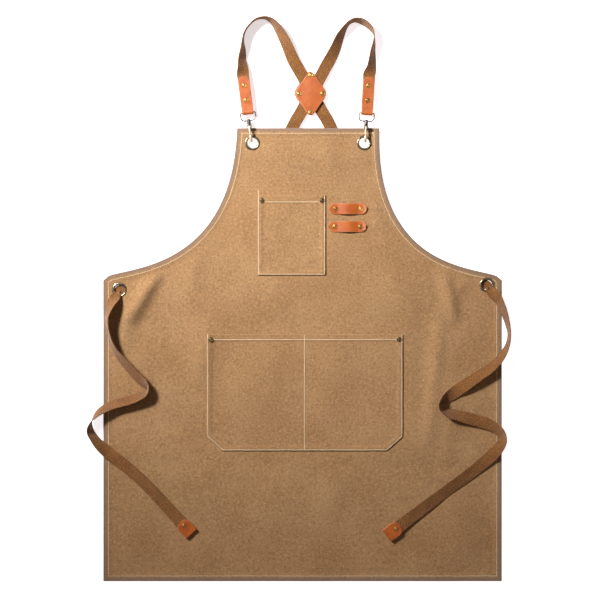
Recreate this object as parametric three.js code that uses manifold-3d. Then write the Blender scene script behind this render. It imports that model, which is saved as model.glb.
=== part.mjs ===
// A canvas work apron laid flat, with cross-back webbing straps on snap hooks.
// Millimetres, +Z up from the table, +Y towards the bib, +X to the right of the front face.
import * as THREE from 'three';
import * as BufferGeometryUtils from 'three/addons/utils/BufferGeometryUtils.js';
import Module from 'manifold-3d';

const wasm = await Module();
wasm.setup();

// ---- driving dimensions ---------------------------------------------------

const gap = 0.3;

const canvas = 0.9;
const hemThickness = 2.7;
const hemWidth = 11.5;
const panelHeight = 792;
const skirtWidth = 697;
const skirtHeight = 526;
const bibWidth = 249;
const bibLean = 10;
const cornerCut = [9, 8];
const armholeStart = [41, 16];
const armholeDrop = 244;

const liftOverStraps = 1.8;
const liftInHooks = 5.6;
const strapRamp = [74, 38];
const hookRamp = [80, 44];

const bibPocket = { width: 119, height: 140, centre: -19, bottom: 535 };
const waistPocket = { width: 343, height: 204, centre: 4, bottom: 228, corner: [28, 25] };
const pocketRivetInset = [7, 9];

const penLoop = { length: 65.6, width: 19.5, rise: 3.4, rivetSpacing: 44, flat: 16 };
const penLoopCentres = [[80, 651], [79, 620]];

const eyelet = { hole: 8.75, wall: 0.8, flange: 13.2, height: 1.1, lip: 10.8, lipThickness: 0.5 };
const washerThickness = 0.5;
const bibEyeletInset = [27, 26];
const sideEyeletInset = { left: [28.5, 16.5], right: [26, 8] };

const rivet = { head: 4.2, shank: 1.5, dome: 1.6, back: 3.8, backThickness: 0.6 };
const smallRivet = { ...rivet, head: 3.4, back: 3.2, dome: 1.2 };

const leather = 1.8;
const webbing = { width: 21.5, thickness: 1.5 };

const hookHeight = 9.6;
const hook = { wire: 1.6, legs: 15.6, shoulder: 27, collar: 4.2, collarEnd: 31, cheek: 3.5, nose: 11.2 };
const post = { radius: 1.8, head: 3, headLength: 1.3 };
const bail = { wire: 2.4, low: 36.6, bar: 52, boss: 3.7, spare: 1.2 };
const gate = { pivot: 26.2, height: 2.4, width: 2.4, pin: 0.9, knuckle: 1.9 };
const gateSpring = { radius: 1.8, width: 1 };
const tab = { width: webbing.width - 1, length: 64, rivets: [22, 48] };
const clips = {
  left: { side: 'left', across: -1.5, seat: 1.2, slant: 7.3 },
  right: { side: 'right', across: 1.5, seat: -0.2, slant: -3.5 },
};

const patch = { offset: [4.5, 60], corner: 0.2, rivetClearance: [9.75, 21.75], rim: [8, 8.5] };
const patchBackShift = [-2, 1.5];
const tipLift = 0.4;
const tieTip = { length: 30, width: 26, roundness: 11, rivet: 9.5 };

const tipBackLow = hemThickness + tipLift + rivet.backThickness + gap;
const tieEndLift = tipBackLow + leather + gap;

// ---- routes of the webbing: [x, y, lift of the lower edge, lean in degrees, width] ----
// The loops and dives start from the middle of the bib's top, the ties from their side eyelets,
// and the runs behind the bib give x and y as shares of the way from the patch to the eyelet.

const full = webbing.width;

const leftLoop = [
  [-114, 106, 6, 34, full],
  [-115, 120, 2, 48, full],
  [-114, 136, 0.4, 60, full],
  [-114, 150, 0.4, 74, full],
  [-112, 164, 0.4, 84, full],
  [-105, 178, 0.4, 82, full],
  [-92, 191, 0.4, 76, full],
  [-76, 194, 0.4, 72, full],
  [-63, 187, 0.4, 62, full],
  [-53, 174, 0.4, 52, full],
  [-43, 157, 0.4, 38, full],
  [-35, 140, 0.4, 26, full],
  [-27, 121, 0.8, 12, full],
  [-17.5, 104, 2.4, 2, full],
];

const rightLoop = [
  [110, 104, 6, 36, full],
  [112, 120, 3, 54, full],
  [113, 136, 0.4, 68, full],
  [115, 151, 0.4, 78, full],
  [114, 166, 0.4, 90, full],
  [107, 178, 0.4, 104, full],
  [95, 188, 0.4, 110, full],
  [82, 192, 0.4, 108, full],
  [70, 186, 0.4, 106, full],
  [63, 175, 0.4, 114, full],
  [54, 158, 0.4, 130, full],
  [47, 138, 0.4, 148, full],
  [38.5, 121, 2, 166, full],
  [29, 104, 4.2, 178, full],
];

const rightDive = [
  [33, 14, 2.4, 0, full],
  [44.5, -10, 1.2, 0, full],
  [60, -50, 0.2, 0, full],
];

const underToRight = [
  [0.2386, 0.476, 0, 0, full],
  [0.3231, 0.6287, 0, 0, full],
  [0.4562, 0.7695, 0, 0, full],
  [0.6477, 0.8802, 0, 0, full],
  [0.849, 0.9521, 0, 0, full],
  [1.0373, 1.009, 0, 0, full],
];

const leftDive = [
  [-21, 14, 4.2, 180, full],
  [-33, -10, 2.2, 180, full],
  [-49, -50, 0.4, 180, full],
];

const underToLeft = [
  [0.2287, 0.4642, 0, 180, full],
  [0.3154, 0.6131, 0, 180, full],
  [0.441, 0.7504, 0, 180, full],
  [0.6293, 0.8642, 0, 180, full],
  [0.8326, 0.9489, 0, 180, full],
  [1.0329, 1.0102, 0, 180, full],
];

const leftTie = [
  [-5.5, -10.5, 7.2, 10, 19],
  [-12, -21.5, 6.4, 40, full],
  [-18, -37.5, 5, 60, full],
  [-21, -51.5, 4.4, 67, full],
  [-19, -68.5, 3.4, 73, full],
  [-13, -89.5, 3.2, 74, full],
  [-6, -105.5, 3.2, 64, full],
  [6, -122.5, 3.2, 50, full],
  [22, -140.5, 3.2, 40, full],
  [37, -156.5, 3.2, 38, full],
  [48, -166.5, 3.2, 60, full],
  [51, -173.5, 3.2, 80, full],
  [46, -181.5, 3.2, 68, full],
  [32, -187.5, 3.2, 52, full],
  [15, -193.5, 3.2, 46, full],
  [-5, -198.5, 3.2, 46, full],
  [-24, -206.5, 3.2, 50, full],
  [-38, -216.5, 3.2, 64, full],
  [-48, -230.5, 3.2, 90, full],
  [-50, -245.5, 3.2, 118, full],
  [-42, -260.5, 3.2, 124, full],
  [-31, -273.5, 3.2, 138, full],
  [-15, -287.5, 3.2, 158, full],
  [18, -313.5, 3.2, 174, full],
  [53, -346.5, 3.2, 180, full],
  [88, -384.5, 4.6, 180, full],
  [106, -404, tieEndLift, 180, full],
  [124, -423.5, tieEndLift, 180, full],
];

const rightTie = [
  [5.5, -10, 7.2, 6, 19],
  [13.5, -18, 6.4, 33, full],
  [21.5, -31, 5.4, 54, full],
  [28.5, -47, 5, 64, full],
  [34.5, -68, 4.4, 74, full],
  [37.5, -86, 3.6, 82, full],
  [34.5, -105, 3.2, 76, full],
  [24.5, -124, 3.2, 60, full],
  [7.5, -143, 3.2, 46, full],
  [-15.5, -159, 3.2, 34, full],
  [-38.5, -175, 3.7, 20, full],
  [-60.5, -190, 3.2, -10, full],
  [-76.5, -200, 3.2, -48, full],
  [-84.5, -208, 3.2, -80, full],
  [-80.5, -216, 3.2, -66, full],
  [-67.5, -223, 3.2, -46, full],
  [-46.5, -229, 3.2, -28, full],
  [-20.5, -236, 4.1, -6, full],
  [3.5, -244, 3.2, 18, full],
  [19.5, -254, 3.2, 40, full],
  [26.5, -270, 3.2, 60, full],
  [17.5, -287, 3.2, 44, full],
  [0.5, -305, 3.2, 26, full],
  [-29.5, -329, 3.2, 14, full],
  [-77.5, -364, 3.2, 4, full],
  [-126.5, -401, 4.6, 0, full],
  [-152.5, -420.5, tieEndLift, 0, full],
  [-172.5, -435.5, tieEndLift, 0, full],
];

// ---- materials --------------------------------------------------------------

const material = (color, roughness, metalness) => new THREE.MeshStandardMaterial({ color, roughness, metalness });
const tanCanvas = material(0xb3875a, 0.95, 0);
const brownWebbing = material(0xa0703c, 0.9, 0);
const orangeLeather = material(0xdd7a3e, 0.6, 0);
const oldBrass = material(0xb08a4a, 0.35, 1);
const darkBrass = material(0x6a5a40, 0.35, 1);
const silver = material(0xc4c4c8, 0.2, 1);

// ---- solids: geometry in, geometry out ----------------------------------------

function solidOf(geometry) {
  const bare = geometry.clone();
  bare.deleteAttribute('normal');
  bare.deleteAttribute('uv');
  const merged = BufferGeometryUtils.mergeVertices(bare, 1e-4);
  return new wasm.Manifold(new wasm.Mesh({
    numProp: 3,
    vertProperties: merged.attributes.position.array,
    triVerts: new Uint32Array(merged.index.array),
  }));
}

function geometryOf(solid) {
  const mesh = solid.getMesh();
  const geometry = new THREE.BufferGeometry();
  geometry.setAttribute('position', new THREE.BufferAttribute(mesh.vertProperties, 3));
  geometry.setIndex(new THREE.BufferAttribute(mesh.triVerts, 1));
  return geometry;
}

function cut(geometry, tools) {
  return geometryOf(tools.reduce((solid, tool) => solid.subtract(solidOf(tool)), solidOf(geometry)));
}

function join(geometries) {
  return geometryOf(geometries.map(solidOf).reduce((sum, solid) => sum.add(solid)));
}

function common(first, second) {
  return geometryOf(solidOf(first).intersect(solidOf(second)));
}

// A plan outline raised from one height to another.
function plate(shape, low, high, curveSegments = 10) {
  const geometry = new THREE.ExtrudeGeometry(shape, { depth: high - low, bevelEnabled: false, curveSegments });
  return geometry.translate(0, 0, low);
}

// A side profile drawn in (y, z), swept along x.
function sweepX(shape, low, high, curveSegments = 10) {
  const axes = [[0, 1, 0], [0, 0, 1], [1, 0, 0]].map((axis) => new THREE.Vector3(...axis));
  return plate(shape, low, high, curveSegments).applyMatrix4(new THREE.Matrix4().makeBasis(...axes));
}

// A side profile drawn in (x, z), swept along y.
function sweepY(shape, low, high, curveSegments = 10) {
  return plate(shape, -high, -low, curveSegments).rotateX(Math.PI / 2);
}

function polygon(points) {
  return new THREE.Shape(points.map(([x, y]) => new THREE.Vector2(x, y)));
}

function circleHole(x, y, radius) {
  return new THREE.Path().absarc(x, y, radius, 0, 2 * Math.PI, true);
}

// A turned piece: profile points are (radius, height) and the axis is +Z.
function turned(profile, sides) {
  const points = profile.map(([radius, height]) => new THREE.Vector2(radius, height));
  return new THREE.LatheGeometry(points, sides).rotateX(Math.PI / 2);
}

function drill(x, y, radius, low = -5, high = 30, sides = 12) {
  const cylinder = new THREE.CylinderGeometry(radius, radius, high - low, sides).rotateX(Math.PI / 2);
  return cylinder.translate(x, y, (low + high) / 2);
}

// A round rod along a smooth curve.
function rod(points, radius, sides, steps) {
  const curve = new THREE.CatmullRomCurve3(points.map((point) => new THREE.Vector3(...point)));
  const corners = Array.from({ length: sides }, (_, i) => (2 * Math.PI * i) / sides);
  const section = polygon(corners.map((angle) => [radius * Math.cos(angle), radius * Math.sin(angle)]));
  return new THREE.ExtrudeGeometry(section, { steps, bevelEnabled: false, extrudePath: curve });
}

// ---- how high the cloth lies ---------------------------------------------------

// The panel lies on the table by its hems, rides over the two straps behind the bib,
// and its top edge lies at mid height in the loops of the snap hooks.
const riseSteps = [
  [-1, 0],
  [skirtHeight - strapRamp[0], 0],
  [skirtHeight - strapRamp[1], liftOverStraps],
  [panelHeight - hookRamp[0], liftOverStraps],
  [panelHeight - hookRamp[1], liftInHooks],
  [panelHeight + 1, liftInHooks],
];

function rise(y) {
  const next = riseSteps.findIndex(([stepY]) => stepY > y);
  const [y0, z0] = riseSteps[next - 1];
  const [y1, z1] = riseSteps[next];
  return z0 + ((z1 - z0) * (y - y0)) / (y1 - y0);
}

const canvasTop = (y) => rise(y) + hemThickness;
const canvasBottom = (y) => canvasTop(y) - canvas;
const leanAt = (y) => bibLean * Math.max(0, (y - skirtHeight) / (panelHeight - skirtHeight));

function band(low, high) {
  const under = riseSteps.map(([y, z]) => [y, z + low]);
  const over = riseSteps.map(([y, z]) => [y, z + high]).reverse();
  return sweepX(polygon([...under, ...over]), -skirtWidth, skirtWidth);
}

// ---- places that several pieces share --------------------------------------------

const bibEyelets = {
  left: [leanAt(panelHeight) - bibWidth / 2 + bibEyeletInset[0], panelHeight - bibEyeletInset[1]],
  right: [leanAt(panelHeight) + bibWidth / 2 - bibEyeletInset[0], panelHeight - bibEyeletInset[1]],
};
const sideEyelets = {
  left: [sideEyeletInset.left[0] - skirtWidth / 2, skirtHeight - sideEyeletInset.left[1]],
  right: [skirtWidth / 2 - sideEyeletInset.right[0], skirtHeight - sideEyeletInset.right[1]],
};
const eyeletPlaces = [...Object.values(bibEyelets), ...Object.values(sideEyelets)];

function pocketRivetPlaces({ width, height, centre, bottom }) {
  const reach = width / 2 - pocketRivetInset[0];
  const y = bottom + height - pocketRivetInset[1];
  return [[centre - reach, y], [centre + reach, y]];
}

const pocketRivets = [bibPocket, waistPocket].flatMap(pocketRivetPlaces);
const penLoopRivets = penLoopCentres.flatMap(([x, y]) =>
  [-1, 1].map((side) => [x + (side * penLoop.rivetSpacing) / 2, y]));
const patchRivetReach = patch.rivetClearance.map((clearance) => webbing.width / 2 + clearance);
const patchReach = patchRivetReach.map((reach, i) => reach + patch.rim[i]);
const bibTop = [leanAt(panelHeight), panelHeight];
const patchCentre = [bibTop[0] + patch.offset[0], bibTop[1] + patch.offset[1]];
const patchRivets = [
  [patchCentre[0], patchCentre[1] + patchRivetReach[1]],
  [patchCentre[0] - patchRivetReach[0], patchCentre[1]],
  [patchCentre[0] + patchRivetReach[0], patchCentre[1]],
  [patchCentre[0], patchCentre[1] - patchRivetReach[1]],
];

// ---- scene -------------------------------------------------------------------------

const apron = new THREE.Group();

function add(name, geometry, finish, parent = apron) {
  const mesh = new THREE.Mesh(geometry, finish);
  mesh.name = name;
  parent.add(mesh);
  return mesh;
}

// ---- canvas panel ---------------------------------------------------------------------

function panelOutline() {
  const half = skirtWidth / 2;
  const shoulder = [half - cornerCut[0], skirtHeight + cornerCut[1]];
  const entry = [shoulder[0] - armholeStart[0], shoulder[1] + armholeStart[1]];
  const exitY = panelHeight - armholeDrop;
  const bibLeft = leanAt(panelHeight) - bibWidth / 2;
  const bibRight = leanAt(panelHeight) + bibWidth / 2;
  const shape = new THREE.Shape();
  shape.moveTo(-half, 0);
  shape.lineTo(half, 0);
  shape.lineTo(half, skirtHeight);
  shape.lineTo(shoulder[0], shoulder[1]);
  shape.bezierCurveTo(entry[0], entry[1], bibWidth / 2 + leanAt(exitY), exitY, bibRight, panelHeight);
  shape.lineTo(bibLeft, panelHeight);
  shape.bezierCurveTo(leanAt(exitY) - bibWidth / 2, exitY, -entry[0], entry[1], -shoulder[0], shoulder[1]);
  shape.lineTo(-half, skirtHeight);
  return shape;
}

// The outline moved inwards by a distance, corner by corner.
function inset(points, distance) {
  return points.map((point, i) => {
    const before = points[(i + points.length - 1) % points.length];
    const after = points[(i + 1) % points.length];
    const inward = [point.clone().sub(before), after.clone().sub(point)]
      .map((edge) => new THREE.Vector2(-edge.y, edge.x).normalize());
    const mitre = inward[0].clone().add(inward[1]).normalize();
    return point.clone().addScaledVector(mitre, distance / mitre.dot(inward[0]));
  });
}

function canvasPanel() {
  const outline = panelOutline().getPoints(16);
  const whole = plate(new THREE.Shape(outline), -10, 40);
  const middle = plate(new THREE.Shape(inset(outline, hemWidth)), -20, 50);
  const cloth = common(whole, band(hemThickness - canvas, hemThickness));
  const hem = common(cut(whole, [middle]), band(0, hemThickness));
  const throughHoles = [
    ...eyeletPlaces.map(([x, y]) => drill(x, y, eyelet.hole + eyelet.wall + gap, -5, 30, 24)),
    ...[...pocketRivets, ...penLoopRivets].map(([x, y]) => drill(x, y, rivet.shank + gap, -5, 30, 8)),
  ];
  const washerSeats = eyeletPlaces.map(([x, y]) =>
    drill(x, y, eyelet.flange + gap, -5, canvasBottom(y), 24));
  return cut(join([cloth, hem]), [...throughHoles, ...washerSeats]);
}

add('canvas_panel', canvasPanel(), tanCanvas);

// ---- rivets --------------------------------------------------------------------------------

// A rivet that grips a stack from one height to another, with a domed front head.
function rivetGeometry(size, low, high) {
  const back = low - gap;
  const front = high + gap;
  return turned([
    [0, back - size.backThickness],
    [size.back, back - size.backThickness],
    [size.back, back],
    [size.shank, back],
    [size.shank, front],
    [size.head, front],
    [size.head * 0.72, front + size.dome * 0.75],
    [0, front + size.dome],
  ], 12);
}

function addRivet(name, size, [x, y], low, high, parent = apron) {
  add(name, rivetGeometry(size, low, high), oldBrass, parent).position.set(x, y, 0);
}

// ---- pockets and pen loops ------------------------------------------------------------------

function pocketShape({ width, height, bottom, centre, corner = [0, 0] }) {
  const [left, right, top] = [centre - width / 2, centre + width / 2, bottom + height];
  const shape = polygon([
    [left, top],
    [left, bottom + corner[1]],
    [left + corner[0], bottom],
    [right - corner[0], bottom],
    [right, bottom + corner[1]],
    [right, top],
  ].filter(([x, y], i, all) => i === 0 || x !== all[i - 1][0] || y !== all[i - 1][1]));
  return shape;
}

function addPocket(name, pocket) {
  const shape = pocketShape(pocket);
  const low = canvasTop(pocket.bottom + pocket.height) + gap;
  shape.holes = pocketRivetPlaces(pocket).map(([x, y]) => circleHole(x, y, rivet.shank + gap));
  add(name, plate(shape, low, low + canvas, 4), tanCanvas);
}

addPocket('bib_pocket', bibPocket);
addPocket('waist_pocket', waistPocket);
pocketRivets.forEach(([x, y], i) => {
  const top = canvasTop(y) + gap + canvas;
  addRivet(`pocket_rivet_${i + 1}`, smallRivet, [x, y], canvasBottom(y), top);
});

// A strip with rounded ends, flat at its rivets and arched between them.
function penLoopGeometry([x, y]) {
  const half = penLoop.length / 2;
  const arch = half - penLoop.flat;
  const low = canvasTop(y) + gap;
  const profile = new THREE.Shape();
  profile.moveTo(-half, low);
  profile.lineTo(-arch, low);
  profile.quadraticCurveTo(0, low + 2 * penLoop.rise, arch, low);
  profile.lineTo(half, low);
  profile.lineTo(half, low + leather);
  profile.lineTo(arch, low + leather);
  profile.quadraticCurveTo(0, low + leather + 2 * penLoop.rise, -arch, low + leather);
  profile.lineTo(-half, low + leather);
  const endRadius = penLoop.width / 2;
  const plan = new THREE.Shape();
  plan.absarc(half - endRadius, 0, endRadius, -Math.PI / 2, Math.PI / 2, false);
  plan.absarc(endRadius - half, 0, endRadius, Math.PI / 2, (3 * Math.PI) / 2, false);
  const strip = common(sweepY(profile, -20, 20, 6), plate(plan, -5, 30, 6));
  const holes = [-1, 1].map((side) => drill((side * penLoop.rivetSpacing) / 2, 0, rivet.shank + gap, -5, 30, 8));
  return cut(strip, holes).translate(x, y, 0);
}

['upper', 'lower'].forEach((level, i) => add(`pen_loop_${level}`, penLoopGeometry(penLoopCentres[i]), orangeLeather));
penLoopRivets.forEach(([x, y], i) => {
  const top = canvasTop(y) + gap + leather;
  addRivet(`pen_loop_rivet_${i + 1}`, rivet, [x, y], canvasBottom(y), top);
});

// ---- eyelets ------------------------------------------------------------------------------------

function addEyelet(name, [x, y]) {
  const top = canvasTop(y);
  const washerTop = top - canvas - gap;
  const lipTop = washerTop - washerThickness - gap;
  const outer = eyelet.hole + eyelet.wall;
  const barrel = turned([
    [eyelet.hole, lipTop - eyelet.lipThickness],
    [eyelet.lip, lipTop - eyelet.lipThickness],
    [eyelet.lip, lipTop],
    [outer, lipTop],
    [outer, top + gap],
    [eyelet.flange, top + gap],
    [eyelet.flange - 1, top + eyelet.height],
    [outer, top + eyelet.height],
    [eyelet.hole, top + gap],
    [eyelet.hole, lipTop - eyelet.lipThickness],
  ], 24);
  const washer = turned([
    [outer + gap, washerTop - washerThickness],
    [eyelet.flange, washerTop - washerThickness],
    [eyelet.flange, washerTop],
    [outer + gap, washerTop],
    [outer + gap, washerTop - washerThickness],
  ], 24);
  add(name, barrel, darkBrass).position.set(x, y, 0);
  add(`${name}_washer`, washer, darkBrass).position.set(x, y, 0);
}

['left', 'right'].forEach((side) => {
  addEyelet(`bib_eyelet_${side}`, bibEyelets[side]);
  addEyelet(`side_eyelet_${side}`, sideEyelets[side]);
});

// ---- snap hooks: y runs up the strap from the hook's bend, z is measured from the hook's axis ----

const legHeight = hook.legs / 2;
const bendCentre = hook.wire + legHeight;
const slotHalf = (gate.width + gateSpring.width + 3 * gap) / 2;

function hookGeometry() {
  const bend = Array.from({ length: 7 }, (_, i) => (-Math.PI / 2) - (i * Math.PI) / 6)
    .map((angle) => [0, bendCentre + legHeight * Math.cos(angle), legHeight * Math.sin(angle)]);
  const path = [
    [0, hook.shoulder + 2, -3.8],
    [0, hook.shoulder - 0.5, -7.2],
    [0, hook.shoulder - 4, -legHeight],
    [0, hook.shoulder - 10, -legHeight],
    ...bend,
    [0, hook.nose, legHeight],
  ];
  const cheekPlan = polygon([
    [hook.shoulder - 2.6, legHeight + hook.wire],
    [hook.shoulder - 2.6, 3.4],
    [hook.shoulder, 2],
    [hook.shoulder, -5.2],
    [hook.shoulder + 3, -4.2],
    [hook.shoulder + 3, 6],
    [hook.shoulder + 1.5, legHeight + hook.wire],
  ]);
  const collar = turned([
    [0, hook.shoulder],
    [hook.collar, hook.shoulder],
    [hook.collar, hook.collarEnd - 0.8],
    [hook.collar - 0.8, hook.collarEnd],
    [post.radius, hook.collarEnd],
    [post.radius, bail.low + bail.wire + gap],
    [post.head, bail.low + bail.wire + gap],
    [post.head, bail.low + bail.wire + gap + post.headLength],
    [0, bail.low + bail.wire + gap + post.headLength],
  ], 16).rotateX(-Math.PI / 2);
  const body = join([rod(path, hook.wire, 10, 30), sweepX(cheekPlan, -hook.cheek, hook.cheek), collar]);
  const slot = polygon([
    [hook.shoulder - 8, legHeight + 4],
    [hook.shoulder - 8, legHeight - 5.6],
    [gate.pivot, 2.8],
    [gate.pivot + gate.knuckle + 0.4, 3.6],
    [gate.pivot + gate.knuckle + 0.4, legHeight + 4],
  ]);
  const pinHole = new THREE.CylinderGeometry(gate.pin + 0.05, gate.pin + 0.05, 20, 12)
    .rotateZ(Math.PI / 2).translate(0, gate.pivot, gatePivotHeight);
  return cut(body, [sweepX(slot, -slotHalf, slotHalf), pinHole]);
}

const gateTop = legHeight + hook.wire;
const gatePivotHeight = gateTop - gate.knuckle;
const gateLeft = -slotHalf + gap;

function gateGeometry() {
  const profile = new THREE.Shape();
  profile.moveTo(hook.nose + gap, gateTop - gate.height);
  profile.lineTo(gate.pivot, gatePivotHeight - gate.knuckle);
  profile.absarc(gate.pivot, gatePivotHeight, gate.knuckle, -Math.PI / 2, Math.PI / 2, false);
  profile.lineTo(hook.nose + gap, gateTop);
  profile.holes = [circleHole(gate.pivot, gatePivotHeight, gate.pin + gap)];
  return sweepX(profile, gateLeft, gateLeft + gate.width, 6);
}

function gateSpringGeometry() {
  const inner = gate.pin + gap;
  const low = gateLeft + gate.width + gap;
  const ring = turned([
    [inner, 0],
    [gateSpring.radius, 0],
    [gateSpring.radius, gateSpring.width],
    [inner, gateSpring.width],
    [inner, 0],
  ], 12).rotateY(Math.PI / 2);
  return ring.translate(low, gate.pivot, gatePivotHeight);
}

function gatePinGeometry() {
  const pin = new THREE.CylinderGeometry(gate.pin, gate.pin, 2 * hook.cheek, 12).rotateZ(Math.PI / 2);
  return pin.translate(0, gate.pivot, gatePivotHeight);
}

function roundedFrame(half, low, high, corner) {
  const shape = new THREE.Shape();
  shape.moveTo(half, high);
  shape.lineTo(-half, high);
  shape.lineTo(-half, low + corner);
  shape.quadraticCurveTo(-half, low, corner - half, low);
  shape.lineTo(half - corner, low);
  shape.quadraticCurveTo(half, low, half, low + corner);
  return shape;
}

function bailGeometry() {
  const half = tab.width / 2 + bail.spare + gap + bail.wire;
  const bevel = 0.7;
  const top = bail.bar + bail.wire / 2;
  const frame = roundedFrame(half - bevel, bail.low + bevel, top - bevel, 8);
  frame.holes = [roundedFrame(half - bail.wire + bevel, bail.low + bail.wire - bevel, top - bail.wire + bevel, 6)];
  const ring = new THREE.ExtrudeGeometry(frame, {
    depth: bail.wire - 2 * bevel,
    bevelThickness: bevel,
    bevelSize: bevel,
    bevelSegments: 1,
    curveSegments: 4,
  }).translate(0, 0, bevel - bail.wire / 2);
  const turnedUp = (geometry) => geometry.rotateX(-Math.PI / 2);
  const boss = turnedUp(turned([
    [0, hook.collarEnd + gap],
    [bail.boss - 0.6, hook.collarEnd + gap],
    [bail.boss, hook.collarEnd + 1.5],
    [bail.boss, bail.low + bail.wire - 1.5],
    [bail.boss - 0.8, bail.low + bail.wire],
    [0, bail.low + bail.wire],
  ], 16));
  const bore = turnedUp(new THREE.CylinderGeometry(post.radius + gap, post.radius + gap, 20, 16).rotateX(Math.PI / 2)
    .translate(0, 0, bail.low));
  return cut(join([ring, boss]), [bore]);
}

// A strap tab: one leather strip folded round the bail's bar with the webbing between its layers.
const tabInner = webbing.thickness / 2 + gap;
const tabOuter = tabInner + leather;
const foldInner = bail.wire / 2 + 0.6;
const foldOuter = foldInner + leather;

function tabGeometry() {
  const end = bail.bar + tab.length;
  const neck = bail.bar + 8;
  const foldAngle = 1.35;
  const profile = new THREE.Shape();
  profile.moveTo(end, tabOuter);
  profile.lineTo(neck, tabOuter);
  profile.absarc(bail.bar, 0, foldOuter, foldAngle, 2 * Math.PI - foldAngle, false);
  profile.lineTo(neck, -tabOuter);
  profile.lineTo(end, -tabOuter);
  profile.lineTo(end, -tabInner);
  profile.lineTo(neck, -tabInner);
  profile.absarc(bail.bar, 0, foldInner, 2 * Math.PI - foldAngle, foldAngle, true);
  profile.lineTo(neck, tabInner);
  profile.lineTo(end, tabInner);
  const half = tab.width / 2;
  const plan = new THREE.Shape();
  plan.moveTo(-half, bail.bar - 10);
  plan.lineTo(half, bail.bar - 10);
  plan.lineTo(half, end - half);
  plan.absarc(0, end - half, half, 0, Math.PI, false);
  const folded = common(sweepX(profile, -half - 1, half + 1, 8), plate(plan, -20, 20, 8));
  const holes = tab.rivets.map((along) => drill(0, bail.bar + along, rivet.shank + gap, -20, 20, 8));
  return cut(folded, holes);
}

// Where a point of a clip's own frame lies in the apron's plan.
function clipPoint(clip, along) {
  const [eyeletX, eyeletY] = bibEyelets[clip.side];
  const slant = THREE.MathUtils.degToRad(clip.slant);
  return [
    eyeletX + clip.across - along * Math.sin(slant),
    eyeletY + clip.seat + along * Math.cos(slant),
  ];
}

function addClip(clip) {
  const group = new THREE.Group();
  const [x, y] = clipPoint(clip, 0);
  group.position.set(x, y, hookHeight);
  group.rotation.z = THREE.MathUtils.degToRad(clip.slant);
  add(`snap_hook_${clip.side}`, hookGeometry(), silver, group);
  add(`gate_${clip.side}`, gateGeometry(), silver, group);
  add(`gate_spring_${clip.side}`, gateSpringGeometry(), silver, group);
  add(`gate_pin_${clip.side}`, gatePinGeometry(), silver, group);
  add(`bail_${clip.side}`, bailGeometry(), silver, group);
  add(`strap_tab_${clip.side}`, tabGeometry(), orangeLeather, group);
  tab.rivets.forEach((along, i) => {
    addRivet(`tab_rivet_${clip.side}_${i + 1}`, rivet, [0, bail.bar + along], -tabOuter, tabOuter, group);
  });
  apron.add(group);
}

Object.values(clips).forEach(addClip);

// ---- cross patch: back leather, two crossing straps, front leather ------------------------------

const patchBackLow = rivet.backThickness + gap;
const lowerStrapLift = patchBackLow + leather + gap;
const upperStrapLift = lowerStrapLift + webbing.thickness + gap;
const patchFrontLow = upperStrapLift + webbing.thickness + gap;

function patchShape([shiftX, shiftY], holes) {
  const [x, y] = patchCentre;
  const [halfWidth, halfHeight] = patchReach;
  const tips = [[halfWidth, 0], [0, halfHeight], [-halfWidth, 0], [0, -halfHeight]]
    .map(([dx, dy]) => new THREE.Vector2(x + shiftX + dx, y + shiftY + dy));
  const shape = new THREE.Shape();
  tips.forEach((tip, i) => {
    const enter = tip.clone().lerp(tips[(i + 3) % 4], patch.corner);
    const leave = tip.clone().lerp(tips[(i + 1) % 4], patch.corner);
    if (i === 0) shape.moveTo(enter.x, enter.y);
    else shape.lineTo(enter.x, enter.y);
    shape.quadraticCurveTo(tip.x, tip.y, leave.x, leave.y);
  });
  shape.holes = holes.map(([holeX, holeY]) => circleHole(holeX, holeY, rivet.shank + gap));
  return shape;
}

add('cross_patch_back', plate(patchShape(patchBackShift, patchRivets), patchBackLow, patchBackLow + leather, 4),
  orangeLeather);
add('cross_patch_front', plate(patchShape([0, 0], patchRivets), patchFrontLow, patchFrontLow + leather, 4),
  orangeLeather);
patchRivets.forEach((place, i) => {
  addRivet(`patch_rivet_${i + 1}`, rivet, place, patchBackLow, patchFrontLow + leather);
});

// ---- webbing ----------------------------------------------------------------------------------------

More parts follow.
